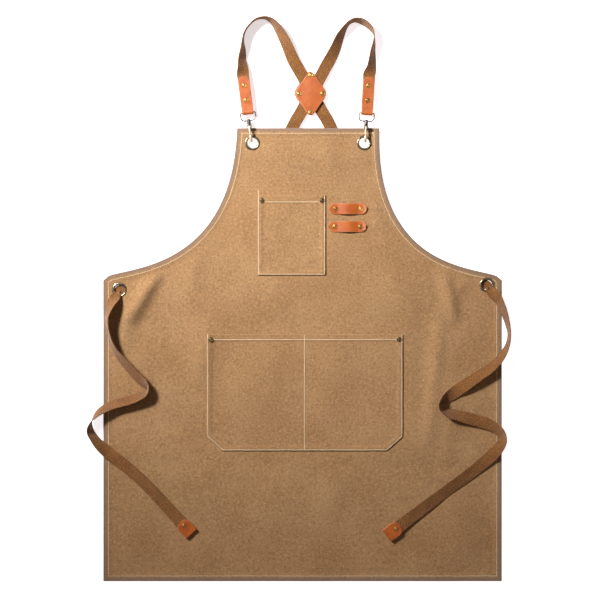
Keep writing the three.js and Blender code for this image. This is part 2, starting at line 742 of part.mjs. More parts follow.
// A flat strip along a route. Lean turns its width from level to standing on edge.
function ribbon(route, stepsPerPoint = 3) {
  const { thickness } = webbing;
  const middles = route.map(([x, y, lift, lean, width]) => {
    const angle = THREE.MathUtils.degToRad(lean);
    const halfHeight = (width * Math.abs(Math.sin(angle)) + thickness * Math.abs(Math.cos(angle))) / 2;
    return new THREE.Vector3(x, y, lift + halfHeight);
  });
  const turns = route.map(([, , , lean, width]) => new THREE.Vector3(THREE.MathUtils.degToRad(lean), width, 0));
  const line = new THREE.CatmullRomCurve3(middles, false, 'catmullrom', 0.5);
  const turning = new THREE.CatmullRomCurve3(turns, false, 'catmullrom', 0.5);
  const steps = (route.length - 1) * stepsPerPoint;
  const up = new THREE.Vector3(0, 0, 1);
  const position = [];
  for (let i = 0; i <= steps; i += 1) {
    const centre = line.getPoint(i / steps);
    const ahead = line.getTangent(i / steps);
    const [lean, width] = turning.getPoint(i / steps).toArray();
    const level = new THREE.Vector3(-ahead.y, ahead.x, 0).normalize();
    const across = level.multiplyScalar(Math.cos(lean)).addScaledVector(up, Math.sin(lean));
    across.addScaledVector(ahead, -across.dot(ahead)).normalize();
    const face = new THREE.Vector3().crossVectors(ahead, across);
    [[-1, -1], [1, -1], [1, 1], [-1, 1]].forEach(([a, f]) => {
      const corner = centre.clone().addScaledVector(across, (a * width) / 2).addScaledVector(face, (f * thickness) / 2);
      position.push(...corner.toArray());
    });
  }
  const index = [0, 2, 1, 0, 3, 2];
  const last = 4 * steps;
  index.push(last, last + 1, last + 2, last, last + 2, last + 3);
  for (let i = 0; i < steps; i += 1) {
    for (let side = 0; side < 4; side += 1) {
      const [a, b] = [4 * i + side, 4 * i + ((side + 1) % 4)];
      index.push(a, b, b + 4, a, b + 4, a + 4);
    }
  }
  const geometry = new THREE.BufferGeometry();
  geometry.setAttribute('position', new THREE.Float32BufferAttribute(position, 3));
  geometry.setIndex(index);
  return geometry;
}

const tabMiddle = hookHeight - webbing.thickness / 2;

// The part of a shoulder strap that lies between the layers of its tab.
function strapStart(clip) {
  const start = bail.bar + 9;
  const end = bail.bar + tab.length;
  const inside = [start, (start + end) / 2, end - 8, end - 2];
  return [
    ...inside.map((along) => [...clipPoint(clip, along), tabMiddle, 0, full - 0.5]),
    [...clipPoint(clip, end + 4), tabMiddle - 1, 6, full],
  ];
}

// A route given from a point.
function routeFrom([x, y], route) {
  return route.map(([dx, dy, ...rest]) => [x + dx, y + dy, ...rest]);
}

// A route given as shares of the way from the patch to a side eyelet.
function routeBehindBib([endX, endY], route) {
  const [x, y] = patchCentre;
  return route.map(([u, v, ...rest]) => [x + u * (endX - x), y + v * (endY - y), ...rest]);
}

// Straight across the patch, from its upper to its lower tip.
function acrossPatch(lift, side, lean, shift) {
  const [x, y] = patchCentre;
  const run = 18 / 32.5;
  return [36, 12, -12, -36].map((dy) => [x + shift + side * dy * run, y + dy, lift, lean, full]);
}

const tabHoles = (clip) => tab.rivets.map((along) => drill(...clipPoint(clip, bail.bar + along), rivet.shank + gap));

const leftStrap = [
  ...strapStart(clips.left),
  ...routeFrom(bibTop, leftLoop),
  ...acrossPatch(lowerStrapLift, -1, 0, 2.5),
  ...routeFrom(bibTop, rightDive),
  ...routeBehindBib(sideEyelets.right, underToRight),
];
const rightStrap = [
  ...strapStart(clips.right),
  ...routeFrom(bibTop, rightLoop),
  ...acrossPatch(upperStrapLift, 1, 180, 0.5),
  ...routeFrom(bibTop, leftDive),
  ...routeBehindBib(sideEyelets.left, underToLeft),
];
add('shoulder_strap_left', cut(ribbon(leftStrap), tabHoles(clips.left)), brownWebbing);
add('shoulder_strap_right', cut(ribbon(rightStrap), tabHoles(clips.right)), brownWebbing);

// ---- waist ties: up through the side eyelet, over its rim and down onto the cloth ----------------

const holeWidth = 13;
const tieStartLift = webbing.thickness + gap - webbing.thickness / 2;

function tieStart([x, y], [towardX, towardY]) {
  const length = Math.hypot(towardX - x, towardY - y);
  const toward = [(towardX - x) / length, (towardY - y) / length];
  const rim = canvasTop(y) + eyelet.height + gap;
  const stations = [
    [0, tieStartLift, holeWidth],
    [0.3, tieStartLift + 1.6, holeWidth],
    [1, tieStartLift + 3.4, holeWidth],
    [3.4, rim + 0.2, holeWidth],
  ];
  return stations.map(([along, lift, width]) => [x + along * toward[0], y + along * toward[1], lift, 0, width]);
}

const tipTop = tipBackLow + 2 * leather + 2 * gap + webbing.thickness;

// A leather tip folded round the end of a tie, drawn along +Y with its rounded end at the origin.
function tipGeometry() {
  const middle = (tipBackLow + tipTop) / 2;
  const half = tieTip.width / 2;
  const plan = new THREE.Shape();
  plan.moveTo(-half, tieTip.length);
  plan.lineTo(-half, tieTip.roundness);
  plan.quadraticCurveTo(-half, 0, 0, 0);
  plan.quadraticCurveTo(half, 0, half, tieTip.roundness);
  plan.lineTo(half, tieTip.length);
  const foldStart = tieTip.length - tabOuter;
  const profile = new THREE.Shape();
  profile.moveTo(-1, middle + tabInner);
  profile.lineTo(foldStart, middle + tabInner);
  profile.absarc(foldStart, middle, tabInner, Math.PI / 2, -Math.PI / 2, true);
  profile.lineTo(-1, middle - tabInner);
  profile.lineTo(-1, middle - tabOuter);
  profile.lineTo(foldStart, middle - tabOuter);
  profile.absarc(foldStart, middle, tabOuter, -Math.PI / 2, Math.PI / 2, false);
  profile.lineTo(-1, middle + tabOuter);
  const folded = common(sweepX(profile, -half - 1, half + 1, 5), plate(plan, -5, 30, 6));
  return cut(folded, [drill(0, tieTip.rivet, rivet.shank + gap, -5, 30, 8)]);
}

function addTie(side, route) {
  const path = [...tieStart(sideEyelets[side], route[0]), ...route];
  const [[beforeX, beforeY], [endX, endY]] = path.slice(-2);
  const heading = Math.atan2(endY - beforeY, endX - beforeX);
  const back = tieTip.length - tabOuter - 1.5;
  const origin = [endX - back * Math.cos(heading), endY - back * Math.sin(heading)];
  const hole = [
    origin[0] + tieTip.rivet * Math.cos(heading),
    origin[1] + tieTip.rivet * Math.sin(heading),
  ];
  add(`waist_tie_${side}`, cut(ribbon(path), [drill(...hole, rivet.shank + gap)]), brownWebbing);
  const tip = add(`tie_tip_${side}`, tipGeometry(), orangeLeather);
  tip.position.set(origin[0], origin[1], 0);
  tip.rotation.z = heading - Math.PI / 2;
  addRivet(`tie_tip_rivet_${side}`, rivet, hole, tipBackLow, tipTop);
}

addTie('left', routeFrom(sideEyelets.left, leftTie));
addTie('right', routeFrom(sideEyelets.right, rightTie));

// ---- the origin is at the middle of the footprint, on the table ------------------------------------

const box = new THREE.Box3().setFromObject(apron, true);
const centre = box.getCenter(new THREE.Vector3());
apron.position.set(-centre.x, -centre.y, -box.min.z);

const group = new THREE.Group();
group.add(apron);
export default group;
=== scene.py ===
"""A canvas work apron laid flat, seen from straight above.

Lengths in this script are millimetres in the apron's own plan: x from the skirt's centre line,
y up from the bottom hem and z up from the table. place() turns them into the row frame in metres.
"""

import math

import bpy
import numpy as np
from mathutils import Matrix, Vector


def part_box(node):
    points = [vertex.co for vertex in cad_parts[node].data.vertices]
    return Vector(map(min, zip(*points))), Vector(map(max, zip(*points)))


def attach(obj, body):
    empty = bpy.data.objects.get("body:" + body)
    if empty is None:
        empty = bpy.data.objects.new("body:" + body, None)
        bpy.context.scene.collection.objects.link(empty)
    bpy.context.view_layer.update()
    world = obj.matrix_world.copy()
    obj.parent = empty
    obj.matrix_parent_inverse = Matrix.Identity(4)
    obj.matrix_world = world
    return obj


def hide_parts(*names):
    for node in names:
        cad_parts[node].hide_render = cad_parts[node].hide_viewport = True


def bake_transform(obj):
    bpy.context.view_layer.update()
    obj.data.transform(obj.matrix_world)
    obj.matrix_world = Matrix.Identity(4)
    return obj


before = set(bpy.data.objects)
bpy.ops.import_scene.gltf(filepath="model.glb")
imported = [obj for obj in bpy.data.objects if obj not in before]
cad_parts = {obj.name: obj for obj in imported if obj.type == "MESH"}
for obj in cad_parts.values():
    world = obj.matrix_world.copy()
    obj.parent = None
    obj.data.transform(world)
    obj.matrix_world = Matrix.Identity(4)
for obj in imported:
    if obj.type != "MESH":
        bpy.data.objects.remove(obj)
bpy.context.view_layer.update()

MM = 0.001
panel_low, panel_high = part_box("canvas_panel")
ORIGIN = np.array([(panel_low.x + panel_high.x) / 2, panel_low.y, panel_low.z])
SIDES = ("left", "right")
random = np.random.default_rng(11)


# ---- the camera looks straight down ----

CAMERA_HEIGHT = 3000
VIEW_WIDTH = 1050
VIEW_CENTRE = (-4.4, 491.8)
SENSOR = 36


def place(x, y, z=0.0):
    return Vector(ORIGIN + np.array([x, y, z]) * MM)


def make_camera():
    camera = bpy.data.objects.new("camera", bpy.data.cameras.new("camera"))
    bpy.context.scene.collection.objects.link(camera)
    camera.location = place(*VIEW_CENTRE, CAMERA_HEIGHT)
    camera.data.sensor_width = SENSOR
    camera.data.lens = SENSOR * CAMERA_HEIGHT / VIEW_WIDTH
    bpy.context.scene.camera = camera


make_camera()


# ---- node materials ----


def linear(red, green, blue):
    """A colour given as screen values from 11 to 255."""
    return (*[((c / 255 + 0.055) / 1.055) ** 2.4 for c in (red, green, blue)], 1)


def shaded(colour, share):
    """A colour made lighter or darker."""
    return (*[min(1, c * share) for c in colour[:3]], 1)


class Nodes:
    """A material and short ways to add nodes to it."""

    def __init__(self, name, **sockets):
        self.material = bpy.data.materials.new(name)
        self.material.use_nodes = True
        self.tree = self.material.node_tree
        self.shader = self.tree.nodes["Principled BSDF"]
        for key, value in sockets.items():
            self.shader.inputs[key.replace("_", " ")].default_value = value

    def link(self, source, target):
        self.tree.links.new(source, target)

    def add(self, kind, settings=(), **inputs):
        node = self.tree.nodes.new("ShaderNode" + kind)
        for key, value in dict(settings).items():
            setattr(node, key, value)
        for key, value in inputs.items():
            socket = node.inputs[int(key[1:])] if key[0] == "i" and key[1:].isdigit() else node.inputs[key]
            if isinstance(value, bpy.types.NodeSocket):
                self.link(value, socket)
            else:
                socket.default_value = value
        return node

    def position(self):
        return self.add("TexCoord").outputs["Object"]

    def noise(self, scale, detail=2.0, vector=None, roughness=0.5):
        node = self.add("TexNoise", Scale=scale, Detail=detail, Roughness=roughness)
        self.link(vector or self.position(), node.inputs["Vector"])
        return node.outputs["Fac"]

    def math(self, operation, first, second=0.5):
        return self.add("Math", {"operation": operation}, i0=first, i1=second).outputs[0]

    def spread(self, value, low, high):
        """value, from 0 where it is low to 1 where it is high."""
        node = self.add("MapRange", {"interpolation_type": "SMOOTHSTEP"}, Value=value)
        node.inputs["From Min"].default_value = low
        node.inputs["From Max"].default_value = high
        return node.outputs["Result"]

    def mix(self, amount, first, second):
        node = self.add("Mix", {"data_type": "RGBA"})
        for socket, value in ((0, amount), (6, first), (7, second)):
            if isinstance(value, bpy.types.NodeSocket):
                self.link(value, node.inputs[socket])
            else:
                node.inputs[socket].default_value = value
        return node.outputs[2]

    def bump(self, height, distance, strength=1.0, below=None):
        node = self.add("Bump", Height=height, Distance=distance, Strength=strength)
        if below:
            self.link(below, node.inputs["Normal"])
        return node.outputs["Normal"]

    def finish(self, colour=None, roughness=None, normal=None):
        for name, value in (("Base Color", colour), ("Roughness", roughness), ("Normal", normal)):
            if value is not None:
                self.link(value, self.shader.inputs[name])
        return self.material


THREAD_PITCH = 1.1 * MM


def canvas_material(name, light, dark, hem):
    """Heathered canvas: woven threads, pale and dark flecks, and a greyer band along the hem's outer edge."""
    m = Nodes(name, Roughness=0.92, Sheen_Weight=0.15, Sheen_Roughness=0.6, Specular_IOR_Level=0.2)
    position = m.position()
    apart = m.add("SeparateXYZ", i0=position)
    turns = [m.math("MULTIPLY", apart.outputs[i], 2 * math.pi / THREAD_PITCH) for i in (0, 1)]
    weave = m.math("MULTIPLY", *[m.math("SINE", turn) for turn in turns])
    clouds = m.noise(11, 4, position, 0.6)
    flecks = m.noise(265, 3, position, 0.8)
    grains = m.noise(620, 3, position, 0.7)
    pale, deep = shaded(light, 1.32), shaded(dark, 0.55)
    colour = m.mix(m.spread(clouds, 0.2, 0.8), dark, light)
    colour = m.mix(m.math("MULTIPLY", m.spread(flecks, 0.5, 0.72), 0.85), colour, pale)
    colour = m.mix(m.math("MULTIPLY", m.spread(flecks, 0.5, 0.28), 0.75), colour, deep)
    colour = m.mix(m.math("MULTIPLY", m.spread(grains, 0.5, 0.75), 0.4), colour, deep)
    edge = m.add("Attribute", {"attribute_name": "rim"}).outputs["Fac"]
    colour = m.mix(m.math("MULTIPLY", edge, 0.8), colour, hem)
    threads = m.bump(weave, 0.00022, 0.5)
    rough = m.bump(grains, 0.0006, 0.5, threads)
    return m.finish(colour, None, m.bump(flecks, 0.0010, 0.45, rough))


RIB_PITCH = 1.5
LANE_PITCH = 1.6


def webbing_material(name, light, dark):
    """Woven webbing: slanted threads in lanes along the strap. Its u and v are in millimetres."""
    m = Nodes(name, Roughness=0.85, Sheen_Weight=0.3, Sheen_Roughness=0.5, Specular_IOR_Level=0.3)
    uv = m.add("UVMap", {"uv_map": "weave"}).outputs[0]
    apart = m.add("SeparateXYZ", i0=uv)
    along, across = apart.outputs[0], apart.outputs[1]
    column = m.math("MULTIPLY", across, 2 * math.pi / (2 * LANE_PITCH))
    slant = m.math("MULTIPLY", m.math("SINE", column), 1.1)
    ribs = m.math("SINE", m.math("ADD", m.math("MULTIPLY", along, 2 * math.pi / RIB_PITCH), slant))
    lanes = m.math("SINE", m.math("MULTIPLY", across, 2 * math.pi / LANE_PITCH))
    weave = m.math("MULTIPLY", m.math("ADD", ribs, 1.0), m.math("ADD", lanes, 1.6))
    wear = m.noise(0.05, 3, uv, 0.6)
    fuzz = m.noise(0.42, 3, uv, 0.8)
    base = m.mix(m.spread(wear, 0.2, 0.8), dark, light)
    pale, deep = shaded(light, 1.6), shaded(dark, 0.5)
    colour = m.mix(m.math("MULTIPLY", m.spread(weave, 2.2, 0.4), 0.55), base, deep)
    colour = m.mix(m.math("MULTIPLY", m.spread(fuzz, 0.48, 0.66), 0.8), colour, pale)
    colour = m.mix(m.math("MULTIPLY", m.spread(fuzz, 0.48, 0.32), 0.7), colour, deep)
    woven = m.bump(weave, 0.0003, 0.6)
    return m.finish(colour, None, m.bump(fuzz, 0.0005, 0.5, woven))


def leather_material(name, light, dark, rim):
    """Smooth veg-tanned leather: fine pores, uneven dye, and a raw edge."""
    m = Nodes(name, Specular_IOR_Level=0.45, Coat_Weight=0.12, Coat_Roughness=0.35)
    position = m.position()
    dye = m.noise(60, 4, position, 0.6)
    cells = m.add("TexVoronoi", {"feature": "DISTANCE_TO_EDGE"}, Scale=1500, Vector=position)
    scuffs = m.noise(380, 5, position, 0.7)
    edge = m.add("Attribute", {"attribute_name": "rim"}).outputs["Fac"]
    colour = m.mix(m.spread(dye, 0.3, 0.7), dark, light)
    colour = m.mix(m.math("MULTIPLY", m.spread(scuffs, 0.56, 0.8), 0.3), colour, rim)
    colour = m.mix(m.math("MULTIPLY", edge, 0.75), colour, rim)
    roughness = m.math("ADD", m.math("MULTIPLY", scuffs, 0.25), 0.34)
    grain = m.bump(m.spread(cells.outputs["Distance"], 0.0, 0.12), 0.00012, 0.5)
    return m.finish(colour, roughness, m.bump(scuffs, 0.0004, 0.35, grain))


def metal_material(name, bright, dull, roughness, scale=500, metallic=1.0):
    """Plated metal with tarnish in patches and fine scratches."""
    m = Nodes(name, Metallic=metallic)
    position = m.position()
    tarnish = m.noise(scale, 4, position, 0.65)
    scratches = m.noise(2600, 2, position, 0.6)
    colour = m.mix(m.spread(tarnish, 0.35, 0.75), bright, dull)
    rough = m.math("ADD", m.math("MULTIPLY", tarnish, 0.22), roughness)
    return m.finish(colour, rough, m.bump(scratches, 0.00006, 0.4))


def thread_material(name, colour, shade):
    m = Nodes(name, Roughness=0.75, Sheen_Weight=0.2)
    position = m.position()
    twist = m.noise(1400, 2, position, 0.6)
    return m.finish(m.mix(m.spread(twist, 0.3, 0.7), shade, colour), None, m.bump(twist, 0.0002, 0.5))


CANVAS = canvas_material("canvas", linear(182, 140, 97), linear(166, 122, 80), linear(140, 116, 101))
WEBBING = webbing_material("webbing", linear(163, 107, 50), linear(128, 78, 35))
LEATHER = leather_material("leather", linear(193, 97, 29), linear(176, 81, 22), linear(190, 124, 80))
BRASS = metal_material("rivet_brass", linear(226, 170, 100), linear(170, 112, 62), 0.3)
OLD_BRASS = metal_material("rivet_old_brass", linear(156, 130, 94), linear(80, 58, 38), 0.3)
DARK_BRASS = metal_material("eyelet_brass", linear(176, 160, 132), linear(70, 58, 44), 0.18, 260, 0.85)
NICKEL = metal_material("clip_nickel", linear(246, 232, 208), linear(206, 190, 166), 0.34, 300, 0.3)
DARK_NICKEL = metal_material("clip_dark", linear(122, 112, 106), linear(62, 56, 54), 0.28, 300, 0.7)
THREAD = thread_material("thread", linear(250, 230, 200), linear(228, 196, 156))


# ---- meshes ----


def make(name, points, faces, material, body, replaces=(), slot=None, uv=None, rim=None):
    """A smooth piece from points in the apron's plan, riding on a body."""
    mesh = bpy.data.meshes.new(name)
    places = (ORIGIN + np.asarray(points, float) * MM).tolist()
    mesh.from_pydata(places, [], [list(map(int, face)) for face in faces])
    if uv is not None:
        layer = mesh.uv_layers.new(name="weave")
        corners = np.empty(len(mesh.loops), int)
        mesh.loops.foreach_get("vertex_index", corners)
        layer.data.foreach_set("uv", np.asarray(uv, np.float32)[corners].ravel())
    if rim is not None:
        attribute = mesh.attributes.new("rim", "FLOAT", "POINT")
        attribute.data.foreach_set("value", np.asarray(rim, np.float32))
    mesh.polygons.foreach_set("use_smooth", [True] * len(mesh.polygons))
    mesh.materials.append(material)
    mesh.validate()
    obj = bpy.data.objects.new(name, mesh)
    bpy.context.scene.collection.objects.link(obj)
    if body:
        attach(obj, body)
    if replaces:
        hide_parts(*replaces)
    return obj


def joined(parts):
    """Several (points, faces) as one."""
    points, faces, offset = [], [], 0
    for part_points, part_faces in parts:
        points.append(np.asarray(part_points, float))
        faces += [[i + offset for i in face] for face in part_faces]
        offset += len(part_points)
    return np.concatenate(points), faces


def shell_faces(rings, around, turned_over=False):
    """Faces round a stack of closed rings of points, with a cap at each end."""
    faces = []
    for r in range(rings - 1):
        for i in range(around):
            j = (i + 1) % around
            faces.append([r * around + i, r * around + j, (r + 1) * around + j, (r + 1) * around + i])
    faces.append(list(range(around))[::-1])
    faces.append([(rings - 1) * around + i for i in range(around)])
    return [[face[0], *face[:0:-1]] for face in faces] if turned_over else faces


def arc(x, y, radius, start, end, count):
    """Points from one angle to another round a centre."""
    return [(x + radius * math.cos(a), y + radius * math.sin(a)) for a in np.linspace(start, end, count)]


def round_end(radius, count):
    """Distances from a rounded end, closest together at its tip."""
    return radius * (1 - np.cos(np.linspace(0.06, math.pi / 2, count)))


def turned(profile, segments):
    """(points, faces) of a profile of (radius, height) turned about z. Points on the axis are shared."""
    points, rows = [], []
    for radius, height in profile:
        if radius < 1e-6:
            rows.append([len(points)] * segments)
            points.append((0, 0, height))
        else:
            rows.append(list(range(len(points), len(points) + segments)))
            angles = np.arange(segments) * 2 * math.pi / segments
            points += [(radius * math.cos(a), radius * math.sin(a), height) for a in angles]
    faces = []
    for below, above in zip(rows, rows[1:]):
        for i in range(segments):
            j = (i + 1) % segments
            face = list(dict.fromkeys([below[i], below[j], above[j], above[i]]))
            if len(face) > 2:
                faces.append(face)
    return np.array(points), faces


def closed_turned(profile, segments):
    """A ring: the profile is a closed loop away from the axis."""
    return turned([*profile, profile[0]], segments)


def smooth_line(points, per_span):
    """A Catmull-Rom line through the points, with each column interpolated alike."""
    p = np.asarray(points, float)
    p = np.concatenate([[2 * p[0] - p[1]], p, [2 * p[-1] - p[-2]]])
    t = (np.arange(per_span) / per_span)[:, None]
    spans = []
    for a, b, c, d in zip(p, p[1:], p[2:], p[3:]):
        square, cube = 2 * a - 5 * b + 4 * c - d, 3 * b - a - 3 * c + d
        spans.append(0.5 * (2 * b + (c - a) * t + square * t**2 + cube * t**3))
    return np.concatenate([*spans, p[-2:-1]])


def unit(v):
    return v / np.maximum(np.linalg.norm(v, axis=-1, keepdims=True), 1e-9)


def tube(points, radii, sides):
    """(points, faces) of a round tube along a line, with a rounded cap at each end."""
    p = np.asarray(points, float)
    radii = np.broadcast_to(radii, len(p)).astype(float)
    tangent = unit(np.gradient(p, axis=0))
    side = np.array([1.0, 0.3, 0.2])
    rings = []
    for centre, heading, radius in zip(p, tangent, radii):
        side = unit(side - heading * side.dot(heading))
        up = np.cross(heading, side)
        angles = np.arange(sides) * 2 * math.pi / sides
        rings.append(centre + radius * (np.outer(np.cos(angles), side) + np.outer(np.sin(angles), up)))
    for end, sign in ((0, -1), (-1, 1)):
        spokes, reach = rings[end] - p[end], sign * tangent[end] * radii[end]
        caps = [p[end] + spokes * math.cos(a) + reach * math.sin(a) for a in (0.5, 1.0, 1.35)]
        rings = [*caps[::-1], *rings] if sign < 0 else [*rings, *caps]
    return np.concatenate(rings), shell_faces(len(rings), sides)


def strip(centres, across, halves, thickness, section, nominal=None, folds=None):
    """(points, faces, uv, rim) of a flat strip.

    section lists (inset from the edge or None, share of the half width or None, share of the half thickness).
    """
    centres, across = np.asarray(centres, float), np.asarray(across, float)
    tangent = unit(np.gradient(centres, axis=0))
    across = unit(across - tangent * np.sum(across * tangent, axis=1, keepdims=True))
    normal = np.cross(tangent, across)
    length = np.concatenate([[0], np.cumsum(np.linalg.norm(np.diff(centres, axis=0), axis=1))])
    nominal = nominal or max(halves)
    loop = [(-1, *row) for row in section] + [(1, *row) for row in section[::-1]]
    loop += [(side, inset, share, -f) for side, inset, share, f in loop[::-1] if f != 0]
    points, uv, rim = [], [], []
    for side, inset, share, f in loop:
        if inset is not None:
            a = side * np.maximum(halves - inset, halves * 0.02)
        else:
            a = side * halves * share
        lift = f * thickness / 2
        if folds is not None:
            lift = lift + folds * np.sin(math.pi * a / np.maximum(halves, 1e-6))
        lift = np.broadcast_to(lift, len(centres))
        points.append(centres + across * a[:, None] + normal * lift[:, None])
        uv.append(np.stack([length, a / np.maximum(halves, 1e-6) * nominal], axis=1))
        rim.append(np.clip(1.6 - (halves - np.abs(a)) / 1.1, 0, 1))
    count, around = len(centres), len(loop)
    points = np.stack(points, axis=1).reshape(-1, 3)
    uv = np.stack(uv, axis=1).reshape(-1, 2)
    rim = np.stack(rim, axis=1).reshape(-1)
    return points, shell_faces(count, around, turned_over=True), uv, rim


LEATHER_SECTION = [
    (0, None, 0), (0.12, None, 0.5), (0.35, None, 0.82), (0.8, None, 1), (2.0, None, 1), (None, 0.5, 1),
]
WEBBING_SECTION = [
    (0, None, 0), (0.12, None, 0.6), (0.45, None, 1.0), (1.2, None, 1.1), (2.2, None, 0.9),
    (None, 0.66, 0.94), (None, 0.5, 0.94), (None, 0.33, 0.94), (None, 0.16, 0.94),
]


# ---- how the cloth lies ----

SKIRT_HALF = 348.5
SKIRT_TOP = 526
PANEL_TOP = 792
HEM = 11.5
SEAM = 9.2
BIB_LEFT, BIB_RIGHT = -114.5, 134.5
CLOTH = 0.9
ONE_LAYER = 1.75
HEM_STEP = 0.95


def smooth_step(low, high, value):
    t = np.clip((value - low) / (high - low), 0, 1)
    return t * t * (3 - 2 * t)


def rise(y):
    """The hem's underside above the table, climbing over the straps behind the bib and to the hooks."""
    return 1.8 * smooth_step(448, 492, y) + 3.8 * smooth_step(708, 752, y)


def armhole(*control, count=90):
    """The curve of four control points, from the side seam to the bib's corner."""
    t = np.linspace(0, 1, count)[:, None]
    a, b, c, d = [np.array(point, float) for point in control]
    return (1 - t) ** 3 * a + 3 * (1 - t) ** 2 * t * b + 3 * (1 - t) * t**2 * c + t**3 * d


RIGHT_EDGE = np.concatenate([
    [(SKIRT_HALF, 0), (SKIRT_HALF, SKIRT_TOP)],
    armhole((339.5, 534), (298.5, 550), (125.3, 548), (BIB_RIGHT, PANEL_TOP)),
])
LEFT_EDGE = np.concatenate([
    [(-SKIRT_HALF, 0), (-SKIRT_HALF, SKIRT_TOP)],
    armhole((-339.5, 534), (-298.5, 550), (-123.7, 548), (BIB_LEFT, PANEL_TOP)),
])


def nearest_on(line, x, y):
    """(distance, position along) of the nearest point of an open line, for arrays x and y."""
    best = np.full(x.shape, 1e9)
    where = np.zeros(x.shape)
    start = 0.0
    for (x0, y0), (x1, y1) in zip(line[:-1], line[1:]):
        dx, dy = x1 - x0, y1 - y0
        size = math.hypot(dx, dy)
        t = np.clip(((x - x0) * dx + (y - y0) * dy) / size**2, 0, 1)
        distance = np.hypot(x - x0 - t * dx, y - y0 - t * dy)
        closer = distance < best
        best = np.where(closer, distance, best)
        where = np.where(closer, start + t * size, where)
        start += size
    return best, where


OUTLINE = np.concatenate([RIGHT_EDGE, LEFT_EDGE[::-1], RIGHT_EDGE[:1]])

# Gentle waves left by handling: (direction, wavelength, height, phase).
SWELLS = [
    tuple(random.uniform(*limits) for limits in ((0, math.pi), (80, 260), (0.2, 0.5), (0, 6.28)))
    for _ in range(12)
]
SWELL_LIMIT = 1.2
# Creases: from, to, half width and height. A negative height is a valley.
CREASES = [
    ((-246, 549), (-306, 452), 13, 11.5),
    ((-234, 548), (-272, 482), 9, -1.7),
    ((-296, 484), (-318, 402), 15, 4.4),
    ((-196, 568), (-188, 470), 18, 3.2),
    ((-160, 480), (-186, 330), 20, 3.4),
    ((244, 552), (268, 450), 11, 8.0),
    ((288, 540), (270, 500), 9, 2.6),
    ((244, 486), (220, 232), 14, 5.4),
    ((262, 440), (252, 170), 15, 2.2),
    ((-335, 207), (60, 204), 7, -1.4),
    ((-30, 204), (345, 199), 7, -1.5),
    ((-120, 700), (-98, 560), 16, 1.7),
    ((-60, 776), (-10, 700), 16, 1.5),
    ((30, 776), (60, 700), 14, 1.9),
    ((120, 700), (150, 590), 15, 2.2),
    ((-60, 520), (-30, 448), 18, 1.7),
    ((150, 540), (200, 448), 18, 2.0),
    ((-300, 180), (-262, 24), 20, 1.6),
    ((60, 190), (40, 40), 24, 1.6),
    ((250, 170), (310, 30), 20, 2.0),
]


def lie(x, y):
    """Waves and creases of the cloth, in mm above its flat place."""
    height = np.zeros(np.shape(x))
    for direction, length, size, phase in SWELLS:
        along = x * math.cos(direction) + y * math.sin(direction)
        height = height + size * np.sin(2 * math.pi * along / length + phase)
    height = SWELL_LIMIT * np.tanh(height / SWELL_LIMIT)
    for (x0, y0), (x1, y1), half, size in CREASES:
        dx, dy = x1 - x0, y1 - y0
        reach = math.hypot(dx, dy)
        t = ((x - x0) * dx + (y - y0) * dy) / reach**2
        off = ((x - x0) * dy - (y - y0) * dx) / reach
        fade = np.clip(np.sin(math.pi * np.clip(t, 0, 1)), 0, 1) ** 0.6
        height = height + size * fade * np.exp(-((off / half) ** 2))
    return height


def panel_front(x, y):
    """The front face of the canvas, in mm above the table, with its hem and the pull of its seam."""
    x, y = np.asarray(x, float), np.asarray(y, float)
    edge, along = nearest_on(OUTLINE, x, y)
    free = smooth_step(6, 40, edge)
    height = rise(y) + ONE_LAYER + HEM_STEP * (1 - smooth_step(HEM - 2, HEM + 4, edge))
    height = height + lie(x, y) * (0.25 + 0.75 * free)
    height = height - 0.4 * np.exp(-(((edge - SEAM) / 0.9) ** 2))
    pucker = np.sin(along * 2 * math.pi / 11 + 2 * np.sin(along / 37)) * np.exp(-(((edge - SEAM) / 6) ** 2))
    return np.maximum(height + 0.16 * pucker, rise(y) + CLOTH + 0.3)


def rounded(edge, top, bottom, radius):
    """(front, back) heights pulled together round an outer edge."""
    middle = (top + bottom) / 2
    half = (top - bottom) / 2
    share = np.sqrt(np.clip(1 - (1 - np.clip(edge / radius, 0, 1)) ** 2, 0, 1))
    return middle + half * share, middle - half * share


NEAR_EDGE = [0, 0.3, 0.8, 1.5, 3, 5, 7, 8.6, 9.6, 10.3, 11, 12, 13.4, 15.5, 18.5, 22.5, 27.5]


def grid(rows, left, right, near, middle_count):
    x = []
    for y in rows:
        a, b = left(y), right(y)
        scale = min(1, (b - a) / 2 / (near[-1] * 1.3))
        steps = np.array(near) * scale
        middle = np.linspace(a + steps[-1], b - steps[-1], middle_count + 2)[1:-1]
        x.append(np.concatenate([a + steps, middle, b - steps[::-1]]))
    x = np.array(x)
    return x, np.repeat(np.asarray(rows, float)[:, None], x.shape[1], axis=1)


def sheet_mesh(x, y, front, back):
    """(points, faces) of a cloth whose front and back meet along the grid's border."""
    rows, columns = x.shape
    border = np.zeros(x.shape, bool)
    border[[0, -1], :] = True
    border[:, [0, -1]] = True
    number = np.arange(rows * columns).reshape(rows, columns)
    under = number.copy()
    under[~border] = rows * columns + np.arange(np.count_nonzero(~border))
    points = np.concatenate([
        np.stack([x, y, front], axis=-1).reshape(-1, 3),
        np.stack([x, y, back], axis=-1)[~border],
    ])
    faces = []
    for r in range(rows - 1):
        for c in range(columns - 1):
            corners = ((r, c), (r, c + 1), (r + 1, c + 1), (r + 1, c))
            faces.append([number[corner] for corner in corners])
            faces.append([under[corner] for corner in corners[::-1]])
    return points, faces


